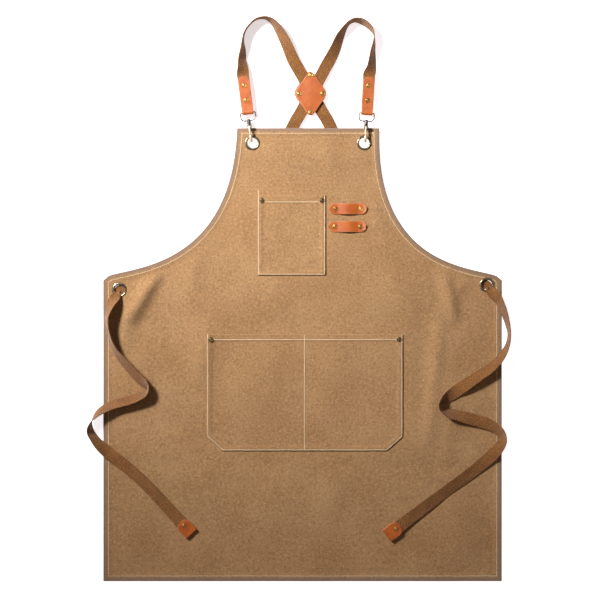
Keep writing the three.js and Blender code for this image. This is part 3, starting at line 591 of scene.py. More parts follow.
def cut_holes(obj, places, radius):
    """Cuts round holes straight through a piece."""
    rings = []
    for x, y in places:
        points, faces = turned([(0, -6), (radius, -6), (radius, 30), (0, 30)], 48)
        rings.append((points + np.array([x, y, 0]), faces))
    cutter = make("cutter", *joined(rings), CANVAS, None)
    modifier = obj.modifiers.new("holes", "BOOLEAN")
    modifier.operation = "DIFFERENCE"
    modifier.solver = "EXACT"
    modifier.object = cutter
    bpy.context.view_layer.update()
    cut = bpy.data.meshes.new_from_object(obj.evaluated_get(bpy.context.evaluated_depsgraph_get()))
    obj.modifiers.remove(modifier)
    obj.data = cut
    bpy.data.objects.remove(cutter)


def box_centre(node):
    low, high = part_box(node)
    return (np.array((low + high) / 2) - ORIGIN) / MM


EYELET_NODES = [f"{area}_eyelet_{side}" for area in ("bib", "side") for side in SIDES]
EYELETS = {node: box_centre(node)[:2] for node in EYELET_NODES}
EYELET_CUT = 9.7


def make_panel():
    rows = np.concatenate([
        NEAR_EDGE,
        np.arange(33, SKIRT_TOP - 4, 5.5),
        [524, SKIRT_TOP],
        np.arange(527.4, 566, 1.4),
        np.arange(568, 606, 2.6),
        np.arange(609, PANEL_TOP - 30, 5.0),
        PANEL_TOP - np.array(NEAR_EDGE)[::-1],
    ])
    left = lambda y: np.interp(y, LEFT_EDGE[:, 1], LEFT_EDGE[:, 0])
    right = lambda y: np.interp(y, RIGHT_EDGE[:, 1], RIGHT_EDGE[:, 0])
    x, y = grid(rows, left, right, NEAR_EDGE, 112)
    edge, _ = nearest_on(OUTLINE, x, y)
    top = panel_front(x, y)
    hem_back = rise(y) + 0.1
    bottom = np.where(edge < HEM + 0.6, hem_back, np.maximum(top - CLOTH, 0.1))
    front, back = rounded(edge, top, bottom, 1.5)
    points, faces = sheet_mesh(x, y, front, back)
    # A greyer colour is painted in a band along the outer edge, from 3 to 9 mm in.
    grey_edge = 1 - smooth_step(3.0, 9.0, nearest_on(OUTLINE, points[:, 0], points[:, 1])[0])
    panel = make("apron_canvas", points, faces, CANVAS, "apron", ["canvas_panel"], "canvas", rim=grey_edge)
    cut_holes(panel, EYELETS.values(), EYELET_CUT)
    return panel


panel = make_panel()


# ---- stitches ----

STITCH_PITCH = 4.0
STITCH_LENGTH = 3.7
THIN_THREAD = 0.52
THICK_THREAD = 0.66
SINK = 0.1
# A stitch's rings: (place along, thickness, lift), as shares of its length and radius.
BEAD = [
    (-0.5, 0.35, -0.55), (-0.42, 0.8, -0.1), (-0.2, 1, 0.14), (0.2, 1, 0.14), (0.42, 0.8, -0.1),
    (0.5, 0.35, -0.55),
]
BEAD_SIDES = 7


def resample(line):
    """(places of the stitches, their distances along, distances of the line's own points)."""
    length = np.concatenate([[0], np.cumsum(np.linalg.norm(np.diff(line, axis=0), axis=1))])
    count = max(2, int(round(length[-1] / STITCH_PITCH)))
    at = (np.arange(count) + 0.5) * length[-1] / count
    return along_line(line, length, at), at, length


def along_line(line, length, at):
    return np.stack([np.interp(at, length, line[:, i]) for i in (0, 1)], axis=1)


def stitches(name, lines, height, radius=THIN_THREAD):
    """Rows of thread lying on a face: each stitch is a short bent bead whose ends dive into the cloth."""
    starts, headings = [], []
    for line in lines:
        line = np.asarray(line, float)
        centres, at, length = resample(line)
        starts.append(centres)
        headings.append(unit(along_line(line, length, at + 0.6) - along_line(line, length, at - 0.6)))
    centres, heading = np.concatenate(starts), np.concatenate(headings)
    level = height(centres[:, 0], centres[:, 1])
    jitter = random.normal(0, 0.12, len(centres))
    size = STITCH_LENGTH * (1 + random.normal(0, 0.04, len(centres)))
    side = np.stack([-heading[:, 1], heading[:, 0]], axis=1)
    rings = []
    for along, thick, lift in BEAD:
        centre = centres + heading * (along * size)[:, None] + side * (jitter * (1 - 2 * abs(along)))[:, None]
        centre = centre + side * (0.16 * along / 0.5)
        for angle in np.arange(BEAD_SIDES) * 2 * math.pi / BEAD_SIDES:
            ring = centre + side * (radius * thick * math.cos(angle))
            z = level + radius * (lift + thick * math.sin(angle)) - SINK + radius * 0.5
            rings.append(np.concatenate([ring, z[:, None]], axis=1))
    per_bead = len(rings)
    bead = shell_faces(len(BEAD), BEAD_SIDES)
    faces = [[k * per_bead + i for i in face] for k in range(len(centres)) for face in bead]
    return make(name, np.stack(rings, axis=1).reshape(-1, 3), faces, THREAD, "apron")


def inset_line(line, distance):
    """An open line moved to its left."""
    p = np.asarray(line, float)
    heading = unit(np.diff(p, axis=0))
    normal = np.stack([-heading[:, 1], heading[:, 0]], axis=1)
    before = np.concatenate([normal[:1], normal])
    after = np.concatenate([normal, normal[-1:]])
    mitre = unit(before + after)
    return p + mitre * (distance / np.sum(mitre * before, axis=1, keepdims=True))


def hem_lines():
    closed = np.concatenate([OUTLINE[-2:-1], OUTLINE, OUTLINE[1:2]])
    inner = inset_line(closed, SEAM)[1:-1]
    corners = [0, 2, len(RIGHT_EDGE) - 1, len(RIGHT_EDGE), len(OUTLINE) - 4, len(OUTLINE) - 1]
    return [inner[a:b + 1] for a, b in zip(corners, corners[1:])]


hem_stitches = stitches("hem_stitches", hem_lines(), panel_front)


# ---- pockets ----


def plan_box(node):
    low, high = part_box(node)
    return (np.array(low) - ORIGIN) / MM, (np.array(high) - ORIGIN) / MM


POCKET_SEAM = 1.7


class Pocket:
    """A patch pocket: folded edges sewn down, a hemmed mouth and cloth that stands a little off the panel."""

    def __init__(self, node, chamfer, mouth_hem, bulge, phase):
        low, high = plan_box(node)
        self.left, self.right, self.bottom, self.top = low[0], high[0], low[1], high[1]
        self.chamfer, self.mouth_hem, self.bulge = chamfer, mouth_hem, bulge
        self.phase = phase
        cut_x, cut_y = chamfer
        corners = [
            (self.left, self.top), (self.left, self.bottom + cut_y), (self.left + cut_x, self.bottom),
            (self.right - cut_x, self.bottom), (self.right, self.bottom + cut_y), (self.right, self.top),
        ]
        self.outline = np.array(list(dict.fromkeys(corners)))

    def front(self, x, y):
        x, y = np.asarray(x, float), np.asarray(y, float)
        sewn, along = nearest_on(self.outline, x, y)
        from_top = self.top - y
        across = (x - self.left) / (self.right - self.left)
        up = (y - self.bottom) / (self.top - self.bottom)
        height = 1.15 + 1.3 * (1 - smooth_step(6, 11, sewn))
        mouth = 1 - smooth_step(self.mouth_hem, self.mouth_hem + 3, from_top)
        height = height + 0.8 * mouth * smooth_step(0, 8, sewn)
        height = height - 0.3 * np.exp(-(((from_top - self.mouth_hem + 1) / 0.9) ** 2))
        height = height - 0.35 * np.exp(-(((sewn - POCKET_SEAM) / 0.8) ** 2))
        swell = np.sin(math.pi * np.clip(across, 0, 1)) ** 0.8 * np.clip(up, 0, 1) ** 1.5
        height = height + self.bulge * swell
        ripple = np.sin(x / 23 + self.phase) * np.sin(y / 31 + 2 * self.phase)
        ripple = ripple + 0.6 * np.sin((x + 1.4 * y) / 17 + self.phase)
        height = height + 0.16 * ripple * smooth_step(8, 25, sewn)
        height = height + 0.12 * np.sin(along * 2 * math.pi / 12) * np.exp(-((sewn - 3) / 5) ** 2)
        return panel_front(x, y) + height

    def build(self, name, node):
        cut_y = max(self.chamfer[1], 0.001)
        levels = [self.bottom, self.bottom + cut_y]
        left = lambda y: np.interp(y, levels, [self.left + self.chamfer[0], self.left])
        right = lambda y: np.interp(y, levels, [self.right - self.chamfer[0], self.right])
        near = [0, 0.3, 0.8, 1.5, 2.2, 3, 4.2, 6, 8, 10, 12.5, 16]
        lower = list(self.bottom + np.array([s for s in near if s < cut_y] if cut_y > 1 else near))
        middle = list(np.arange(lower[-1] + 3, self.top - 18, 4.0))
        upper = list(self.top - np.array([0, 0.3, 0.8, 1.5, 3, 5, 8, 10.5, 11.7, 12.5, 13.5, 15, 17])[::-1])
        x, y = grid([*lower, *middle, *upper], left, right, near, int((self.right - self.left) / 4.5))
        top = self.front(x, y)
        gap = np.clip(top - panel_front(x, y) - CLOTH - 1.3, 0.1, None)
        border, _ = nearest_on(np.concatenate([self.outline, self.outline[:1]]), x, y)
        bottom = panel_front(x, y) + np.where(border < 2, 0.1, gap)
        front, back = rounded(border, top, bottom, 1.1)
        return make(name, *sheet_mesh(x, y, front, back), CANVAS, "apron", [node], "canvas")


bib_pocket = Pocket("bib_pocket", (0.0, 0.0), 13, 0.9, 1.3)
waist_pocket = Pocket("waist_pocket", (28.0, 25.0), 10.5, 1.2, 4.1)
bib_pocket_cloth = bib_pocket.build("bib_pocket_cloth", "bib_pocket")
waist_pocket_cloth = waist_pocket.build("waist_pocket_cloth", "waist_pocket")
DIVIDER_X = 3.5


def pocket_seams(pocket, divider=None):
    inner = inset_line(pocket.outline, POCKET_SEAM)
    lines = [inner[a:a + 2] for a in range(len(inner) - 1)]
    y = pocket.top - pocket.mouth_hem + 1
    lines.append(np.array([(pocket.left + 4, y), (pocket.right - 4, y)]))
    if divider is not None:
        lines.append(np.array([(divider, pocket.bottom + 3), (divider, pocket.top - 1.5)]))
    return lines


bib_pocket_stitches = stitches(
    "bib_pocket_stitches", pocket_seams(bib_pocket), bib_pocket.front, THICK_THREAD)
waist_pocket_stitches = stitches(
    "waist_pocket_stitches", pocket_seams(waist_pocket, DIVIDER_X), waist_pocket.front, THICK_THREAD)
tail = [(bib_pocket.left + POCKET_SEAM, bib_pocket.top + 0.5), (bib_pocket.left + 0.8, bib_pocket.top + 9)]
thread_tail = stitches("bib_pocket_thread_tail", [tail], panel_front, THICK_THREAD)


# ---- rivets and eyelets ----

TABLE_GAP = 0.85
RIVET_POST = 1.4


def rivet_profile(low, high, head):
    """A tubular rivet: a burr ring round a domed post in front and a flat cap behind."""
    return [
        (0, low - 0.6), (head * 0.55, low - 0.57), (head * 0.82, low - 0.45), (head * 0.88, low - 0.2),
        (head * 0.8, low), (RIVET_POST, low), (RIVET_POST, high), (head * 0.94, high), (head, high + 0.22),
        (head * 0.97, high + 0.55), (head * 0.86, high + 0.78), (head * 0.7, high + 0.72),
        (head * 0.58, high + 0.5), (head * 0.52, high + 0.55), (head * 0.47, high + 0.95),
        (head * 0.36, high + 1.3), (head * 0.2, high + 1.5), (0, high + 1.56),
    ]


def make_rivet(name, node, x, y, low, high, body="apron", head=4.3, metal=BRASS):
    points, faces = turned(rivet_profile(max(low, TABLE_GAP), high, head), 32)
    tilt = random.normal(0, 0.03, 2)
    points[:, 2] += points[:, 0] * tilt[0] + points[:, 1] * tilt[1]
    return make(name, points + np.array([x, y, 0]), faces, metal, body, [node], "rivet_brass")


def panel_back(x, y):
    return float(panel_front(x, y)) - CLOTH - 0.2


for number, pocket in ((1, bib_pocket), (2, bib_pocket), (3, waist_pocket), (4, waist_pocket)):
    node = f"pocket_rivet_{number}"
    x, y, _ = box_centre(node)
    make_rivet(f"{node}_head", node, x, y, panel_back(x, y), float(pocket.front(x, y)) + 0.5, metal=OLD_BRASS)


def make_eyelet(node):
    """A rolled flange in front, a barrel through the cloth, a lip behind and the washer under it."""
    x, y = EYELETS[node]
    ring = np.array(arc(x, y, 11.5, 0, 2 * math.pi * 11 / 12, 12))
    top = float(np.median(panel_front(ring[:, 0], ring[:, 1]))) + 0.15
    low = plan_box(node)[0][2]
    flange = np.linspace(0.25, math.pi - 0.15, 12)
    lip = np.linspace(1.4, -1.4, 5)
    profile = [
        (8.75, low + 0.9), (8.9, top - 0.4),
        *[(11.05 - 2.2 * math.cos(a), top + 1.5 * math.sin(a)) for a in flange],
        (13.2, top - 0.1), (12.4, top - 0.25), (9.6, top - 0.3), (9.6, low + 1.2),
        *[(11.2 + 0.2 * math.cos(a), low + 0.75 + 0.45 * math.sin(a)) for a in lip],
        (9.4, low + 0.3), (8.95, low + 0.5),
    ]
    points, faces = closed_turned(profile, 64)
    make(f"{node}_ring", points + np.array([x, y, 0]), faces, DARK_BRASS, "apron", [node], "eyelet_brass")
    washer = f"{node}_washer"
    low, high = plan_box(washer)
    profile = [(9.8, low[2]), (12.8, low[2]), (13.15, low[2] + 0.2), (12.9, high[2]), (9.8, high[2])]
    points, faces = closed_turned(profile, 64)
    make(f"{washer}_ring", points + np.array([x, y, 0]), faces, DARK_BRASS, "apron", [washer], "eyelet_brass")


for node in EYELET_NODES:
    make_eyelet(node)


# ---- webbing ----

WIDE = 21.5
THICK = 1.5
TIE_CLEARANCE = 0.4
# Where each clip's axis starts and how far it slants, in degrees. BAR and TAB_END are distances up that axis.
CLIPS = {"left": ((-89.0, 767.2), 7.3), "right": ((109.0, 765.8), -3.5)}
HOOK_Z = 9.6
BAR = 52
TAB_END = BAR + 64


def clip_point(side, along, across=0.0, z=0.0):
    """A point of a clip's own frame in the apron's plan: along runs up the strap, z from the hook's axis."""
    (x, y), slant = CLIPS[side]
    a = math.radians(slant)
    return np.array([
        x + across * math.cos(a) - along * math.sin(a),
        y + across * math.sin(a) + along * math.cos(a),
        HOOK_Z + z,
    ])


def clip_points(side, local):
    """Local points (across, along, z) in the apron's plan."""
    return np.array([clip_point(side, s, a, z) for a, s, z in local])


# Routes: x, y, lift of the lower edge, lean in degrees, and width where it is less than the full width.
# They are the CAD straps' routes, though some leans differ by a few degrees and the left tie's first
# stretch arches higher.
LEFT_LOOP = [
    (-104, 898, 6, 34), (-105, 912, 2, 50), (-104, 928, 0.4, 66), (-104, 942, 0.4, 82), (-102, 956, 0.4, 89),
    (-95, 969, 0.4, 92), (-82, 981, 0.4, 92), (-66, 984, 0.4, 86), (-53, 978, 0.4, 70), (-43, 966, 0.4, 54),
    (-33, 949, 0.4, 38), (-25, 932, 0.4, 26), (-17, 913, 0.8, 12), (-7.5, 896, 2.4, 2),
    (-2.9, 888, 2.8, 0), (10.4, 864, 2.8, 0), (23.6, 840, 2.8, 0), (36.9, 816, 2.8, 0), (43, 806, 2.4, 0),
    (54.5, 782, 1.2, 0), (70, 742, 0.2, 0), (88, 693, 0.1, 0), (114, 642, 0.1, 0), (155, 595, 0.1, 0),
    (214, 558, 0.1, 0), (276, 534, 0.1, 0), (302, 525, 0.1, 0, 20),
]
RIGHT_LOOP = [
    (120, 896, 6, 36), (122, 912, 3, 54), (123, 928, 0.4, 68), (125, 943, 0.4, 80), (124, 957, 0.4, 92),
    (117, 968, 0.4, 106), (105, 977, 0.4, 110), (92, 980, 0.4, 102), (81, 975, 0.4, 100),
    (73, 965, 0.4, 110), (65, 950, 0.4, 130), (57, 930, 0.4, 148), (48.5, 913, 2, 166), (39, 896, 4.2, 178),
    (34.9, 888, 4.6, 180), (21.6, 864, 4.6, 180), (8.4, 840, 4.6, 180), (-4.9, 816, 4.6, 180),
    (-11, 806, 4.2, 180), (-23, 782, 2.2, 180), (-39, 742, 0.4, 180), (-62, 693, 0.1, 180),
    (-91, 642, 0.1, 180), (-133, 595, 0.1, 180), (-196, 556, 0.1, 180), (-264, 527, 0.1, 180),
    (-296, 516.5, 0.1, 180, 20),
]
LEFT_TIE = [
    (-325.5, 499, 7.6, 10, 17), (-332, 488, 8.6, 40), (-338, 472, 9.4, 60), (-341, 458, 9.6, 67),
    (-339, 441, 9, 73), (-333, 420, 7.4, 74), (-326, 404, 5, 64), (-314, 387, 3.2, 50),
    (-298, 369, 3.2, 40), (-283, 353, 3.2, 38), (-272, 343, 3.2, 60), (-269, 336, 3.2, 80),
    (-274, 328, 3.2, 68), (-288, 322, 3.2, 52), (-305, 316, 3.2, 46), (-325, 311, 3.2, 46),
    (-344, 303, 3.2, 50), (-358, 293, 3.2, 64), (-368, 279, 3.2, 90), (-370, 264, 3.2, 118),
    (-362, 249, 3.2, 128), (-351, 236, 3.2, 146), (-335, 222, 3.2, 170), (-302, 196, 3.2, 190),
    (-267, 163, 3.2, 196), (-232, 125, 4.2, 188), (-214, 105.5, 6.1, 180), (-196, 86, 6.1, 180),
]
RIGHT_TIE = [
    (328, 508, 7.2, 6, 17), (336, 500, 6.4, 33), (344, 487, 5.4, 54), (351, 471, 5, 64),
    (357, 450, 4.4, 74), (360, 432, 3.6, 82), (357, 413, 3.2, 76), (347, 394, 3.2, 60), (330, 375, 3.2, 46),
    (307, 359, 3.2, 34), (284, 343, 3.7, 20), (262, 328, 3.2, -10), (246, 318, 3.2, -48),
    (238, 310, 3.2, -80), (242, 302, 3.2, -66), (255, 295, 3.2, -46), (276, 289, 3.2, -28),
    (302, 282, 4.1, -6), (326, 274, 3.2, 18), (342, 264, 3.2, 40), (349, 248, 3.2, 54), (340, 231, 3.2, 30),
    (323, 213, 3.2, 4), (293, 189, 3.2, -12), (245, 154, 3.2, -18), (196, 117, 4.2, -8),
    (170, 97.5, 6.1, 0), (150, 82.5, 6.1, 0),
]


def stations(route, turn=0):
    """(x, y, z of the middle, lean, width) of a route's points."""
    out = []
    for x, y, lift, lean, *width in route:
        width = width[0] if width else WIDE
        a = math.radians(lean)
        z = lift + (width * abs(math.sin(a)) + THICK * abs(math.cos(a))) / 2
        out.append((x, y, z, lean + turn, width))
    return out


def through_eyelet(side, heading, turn):
    """Up through the side eyelet, bunched to fit, and over its rim."""
    x, y = EYELETS[f"side_eyelet_{side}"]
    dx, dy = heading
    steps = [(0, 0.9, 16), (5.2, 1.4, 12), (6.0, 3.2, 9.6), (6.2, 5.2, 9.6), (7.4, 7.2, 12), (10, 8.0, 14)]
    return [(x + s * dx, y + s * dy, z, turn, width) for s, z, width in steps]


def tab_stations(side):
    inside = [BAR + 9, BAR + 30, TAB_END - 8, TAB_END - 2]
    points = [(*clip_point(side, s)[:2], HOOK_Z, 0, WIDE - 0.6) for s in inside]
    return [*points, (*clip_point(side, TAB_END + 4)[:2], HOOK_Z + 0.15, 6, WIDE)]


def make_webbing(name, clip_side, eyelet_side, loop, tie_route, heading, turn, nodes):
    """One length of webbing, from its tab through the side eyelet to its tip, and that length."""
    line = smooth_line([
        *tab_stations(clip_side), *stations(loop),
        *through_eyelet(eyelet_side, heading, turn), *stations(tie_route, turn),
    ], 7)
    centres, lean, width = line[:, :3], np.radians(line[:, 3]), line[:, 4]
    ahead = np.gradient(centres, axis=0)
    level = unit(np.stack([-ahead[:, 1], ahead[:, 0], np.zeros(len(ahead))], axis=1))
    across = level * np.cos(lean)[:, None] + np.array([0, 0, 1.0]) * np.sin(lean)[:, None]
    x, y = EYELETS[f"side_eyelet_{eyelet_side}"]
    passed = np.argmax((np.hypot(centres[:, 0] - x, centres[:, 1] - y) < 14) & (centres[:, 2] > 6))
    tall = width * np.abs(np.sin(lean)) + THICK * np.abs(np.cos(lean))
    tie = centres[passed:]
    clear = panel_front(tie[:, 0], tie[:, 1]) + TIE_CLEARANCE
    tie[:, 2] += np.maximum(0, clear - (tie[:, 2] - tall[passed:] / 2))
    folds = 2.2 * np.clip(1 - width / WIDE, 0, 1)
    points, faces, uv, _ = strip(centres, across, width / 2, THICK, WEBBING_SECTION, WIDE / 2, folds)
    points[:, 2] = np.maximum(points[:, 2], 0.02)
    obj = make(name, points, faces, WEBBING, None, nodes, "webbing", uv=uv)
    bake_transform(obj)
    length = float(np.linalg.norm(np.diff(centres, axis=0), axis=1).sum())
    return obj, length


webbing_right, webbing_right_length = make_webbing(
    "webbing_to_right_tie", "left", "right", LEFT_LOOP, RIGHT_TIE, (0.62, -0.78), 0,
    ["shoulder_strap_left", "waist_tie_right"])
webbing_left, webbing_left_length = make_webbing(
    "webbing_to_left_tie", "right", "left", RIGHT_LOOP, LEFT_TIE, (-0.5, -0.87), 180,
    ["shoulder_strap_right", "waist_tie_left"])


# ---- leather ----

HIDE = 1.8
LAYER = 1.05 + HIDE / 2
FOLD = 0.3 + 1.2 + 0.3 + HIDE / 2
TAB_RIVETS = ((1, 22), (2, 48))


def make_tab(side):
    """One strip of leather folded round the bail's bar, with its two ends riveted over the webbing."""
    half = (WIDE - 1) / 2
    ends = TAB_END - round_end(half, 14)
    front = [(s, LAYER) for s in [*ends, *np.linspace(TAB_END - half - 4, BAR + 11, 9)]]
    fold = [(BAR + 7, 2.3), *arc(BAR, 0, FOLD + 0.1, 1.2, 2 * math.pi - 1.2, 14), (BAR + 7, -2.3)]
    path = np.array([*front, *fold, *[(s, -v) for s, v in front[::-1]]])
    halves = np.array([math.sqrt(max(0.2, half**2 - max(0, s - (TAB_END - half)) ** 2)) for s, _ in path])
    halves = halves * (1 - 0.03 * np.exp(-((path[:, 0] - BAR - 4) / 5) ** 2))
    centres = np.array([clip_point(side, s, 0, v) for s, v in path])
    across = np.repeat([clip_point(side, 0, 1) - clip_point(side, 0)], len(path), axis=0)
    points, faces, _, rim = strip(centres, -across, halves, HIDE, LEATHER_SECTION)
    make(f"tab_leather_{side}", points, faces, LEATHER, "apron", [f"strap_tab_{side}"], "leather", rim=rim)
    for number, along in TAB_RIVETS:
        node = f"tab_rivet_{side}_{number}"
        x, y, _ = clip_point(side, BAR + along)
        make_rivet(f"{node}_head", node, x, y, HOOK_Z - 2.9, HOOK_Z + 2.9)


for side in SIDES:
    make_tab(side)


def make_pen_loop(level, first_rivet):
    """A leather strip riveted at both ends, arched between them and curling up at its right end."""
    node = f"pen_loop_{level}"
    x0, y0, _ = box_centre(node)
    length, half = 65.6, 9.75
    reach = round_end(half, 12)
    inner = np.linspace(-length / 2 + half, length / 2 - half, 40)[1:-1]
    s = np.concatenate([-length / 2 + reach, inner, length / 2 - reach[::-1]])
    arch = 3.0 * np.clip(np.cos(math.pi * s / 36), 0, 1) ** 1.1 * (np.abs(s) < 18)
    curl = 0.9 * smooth_step(24, 33, s) + 0.4 * smooth_step(24, 33, -s)
    z = panel_front(x0 + s, np.full(len(s), y0)) + 0.25 + HIDE / 2 + arch + curl
    halves = np.sqrt(np.maximum(0.2, half**2 - np.maximum(0, np.abs(s) - length / 2 + half) ** 2))
    centres = np.stack([x0 + s, np.full(len(s), y0), z], axis=1)
    across = np.repeat([[0.0, 1.0, 0.0]], len(s), axis=0)
    points, faces, _, rim = strip(centres, across, halves, HIDE, LEATHER_SECTION)
    rim = np.maximum(rim, 0.9 * smooth_step(26.5, 28, points[:, 0] - x0))
    make(f"pen_loop_leather_{level}", points, faces, LEATHER, "apron", [node], "leather", rim=rim)
    for number in (first_rivet, first_rivet + 1):
        rivet = f"pen_loop_rivet_{number}"
        x, y, _ = box_centre(rivet)
        top = float(np.interp(x - x0, s, z)) + HIDE / 2
        make_rivet(f"{rivet}_head", rivet, x, y, panel_back(x, y), top)


make_pen_loop("upper", 1)
make_pen_loop("lower", 3)


def diamond(half_x, half_y, corner, count=10):
    """A rhombus with rounded corners, centred on the origin."""
    tips = np.array([(half_x, 0), (0, half_y), (-half_x, 0), (0, -half_y)], float)
    out = []
    for i in range(4):
        enter = tips[i] + (tips[i - 1] - tips[i]) * corner
        leave = tips[i] + (tips[(i + 1) % 4] - tips[i]) * corner
        t = np.linspace(0, 1, count)[:, None]
        out.append((1 - t) ** 2 * enter + 2 * (1 - t) * t * tips[i] + t**2 * leave)
        enter_next = tips[(i + 1) % 4] + (tips[i] - tips[(i + 1) % 4]) * corner
        out.append(leave + (enter_next - leave) * np.linspace(0.12, 0.88, 7)[:, None])
    return np.concatenate(out)


def plate(outline, centre, middle_z, thickness, shape=lambda dx, dy: 0 * dx):
    """(points, faces, rim) of a leather plate with rounded edges that follows shape."""
    radius = np.linalg.norm(outline, axis=1, keepdims=True)
    layers = []
    for inset, f in ((0, 0), (0.12, 0.5), (0.4, 0.82), (0.9, 1), (2.2, 1)):
        layers.append((outline * (1 - inset / radius), f, np.clip(1.6 - inset / 1.1, 0, 1)))
    for share in (0.82, 0.66, 0.5, 0.34, 0.18):
        layers.append((outline * share, 1, 0.0))
    points, rim = [], []
    order = [*[(*layer, 1) for layer in layers[::-1]], *[(*layer, -1) for layer in layers[1:]]]
    for ring, f, edge, sign in order:
        z = middle_z + sign * f * thickness / 2 + shape(ring[:, 0], ring[:, 1])
        points.append(np.column_stack([ring + centre, z]))
        rim += [float(edge)] * len(outline)
    return np.concatenate(points), shell_faces(len(order), len(outline), turned_over=True), rim


PATCH = np.array([14.5, 852.0])
PATCH_HALF = (28.5, 41)
# The rounding of the corners shortens the diamond, so it starts this much bigger.
CORNER_LOSS = 1.055


def puff(dx, dy):
    """How far the front patch stands up over the crossing and droops at its tips."""
    return 1.1 * np.exp(-((dx / 15) ** 2) - (dy / 22) ** 2) - 0.25 * (np.abs(dy) / PATCH_HALF[1]) ** 2


def make_patch():
    outline = diamond(*[half * CORNER_LOSS for half in PATCH_HALF], 0.24)
    points, faces, rim = plate(outline, PATCH, 6.4 + HIDE / 2 + 0.1, HIDE, puff)
    make("patch_leather_front", points, faces, LEATHER, "apron", ["cross_patch_front"], "leather", rim=rim)
    points, faces, rim = plate(outline, PATCH + np.array([-2, 1.5]), 0.9 + HIDE / 2, HIDE)
    make("patch_leather_back", points, faces, LEATHER, "apron", ["cross_patch_back"], "leather", rim=rim)
    for number in (1, 2, 3, 4):
        node = f"patch_rivet_{number}"
        x, y, _ = box_centre(node)
        top = 6.5 + HIDE + float(puff(np.array(x - PATCH[0]), np.array(y - PATCH[1])))
        make_rivet(f"{node}_head", node, x, y, TABLE_GAP, top, head=4.6)


make_patch()


TIES = {"left": LEFT_TIE, "right": RIGHT_TIE}


def make_tie_tip(side):
    """Leather folded over the end of a tie and held by one rivet near its rounded end."""
    node = f"tie_tip_{side}"
    rivet = f"tie_tip_rivet_{side}"
    before, end = [np.array(point[:2], float) for point in TIES[side][-2:]]
    ahead = unit(end - before)
    origin = end - ahead * 25.65
    aside = np.array([-ahead[1], ahead[0]])
    middle = 6.85
    length, half, round_length = 27.15, 13.0, 11
    top = [(s, LAYER) for s in [*round_end(round_length, 12), *np.linspace(12.5, length, 7)]]
    fold = arc(length, 0, LAYER, math.pi / 2, -math.pi / 2, 11)[1:-1]
    path = np.array([*top, *fold, *[(s, -v) for s, v in top[::-1]]])
    shape = np.sqrt(np.clip(1 - (1 - np.clip(path[:, 0] / round_length, 0, 1)) ** 2, 0.0004, 1))
    halves = half * shape * (1 - 0.06 * smooth_step(14, 30, path[:, 0]))
    bow = 0.35 * np.sin(path[:, 0] / 5.0)
    centres = np.column_stack([origin + path[:, :1] * ahead, middle + path[:, 1] + bow])
    across = np.repeat([[*aside, 0.0]], len(path), axis=0)
    points, faces, _, rim = strip(centres, across, halves, HIDE, LEATHER_SECTION)
    make(f"tie_tip_leather_{side}", points, faces, LEATHER, f"tie_{side}", [node], "leather", rim=rim)
    x, y, _ = box_centre(rivet)
    make_rivet(f"{rivet}_head", rivet, x, y, middle - 2.75, middle + 3.1, f"tie_{side}", 4.0)


for side in SIDES:
    make_tie_tip(side)


# ---- snap hooks ----

# Half the gap between the hook's legs, the wire's radius, and the gate's pivot and its two sides.
LEG = 7.8
WIRE = 1.75
PIVOT = (26.2, 7.5)
GATE_LEFT, GATE_RIGHT = -1.65, 0.75


def prism(outline, low, high, bevel):
    """(points, faces) of a side profile in (along, z) between two places across, with its edges eased."""
    p = np.asarray(outline, float)
    middle = p.mean(axis=0)
    shrink = middle + (p - middle) * (1 - bevel / np.linalg.norm(p - middle, axis=1, keepdims=True))
    rings = ((shrink, low), (p, low + bevel), (p, high - bevel), (shrink, high))
    points = [(a, s, v) for ring, a in rings for s, v in ring]
    return np.array(points, float), shell_faces(len(rings), len(p))


def along_axis(part):
    """A turned part whose axis runs up the strap."""
    points, faces = part
    return np.column_stack([points[:, 0], points[:, 2], -points[:, 1]]), faces


def local_make(name, side, part, body, nodes, metal=NICKEL):
    """A piece given in its clip's own frame."""
    points, faces = part
    return make(name, clip_points(side, points), faces, metal, body, nodes, "clip_metal")


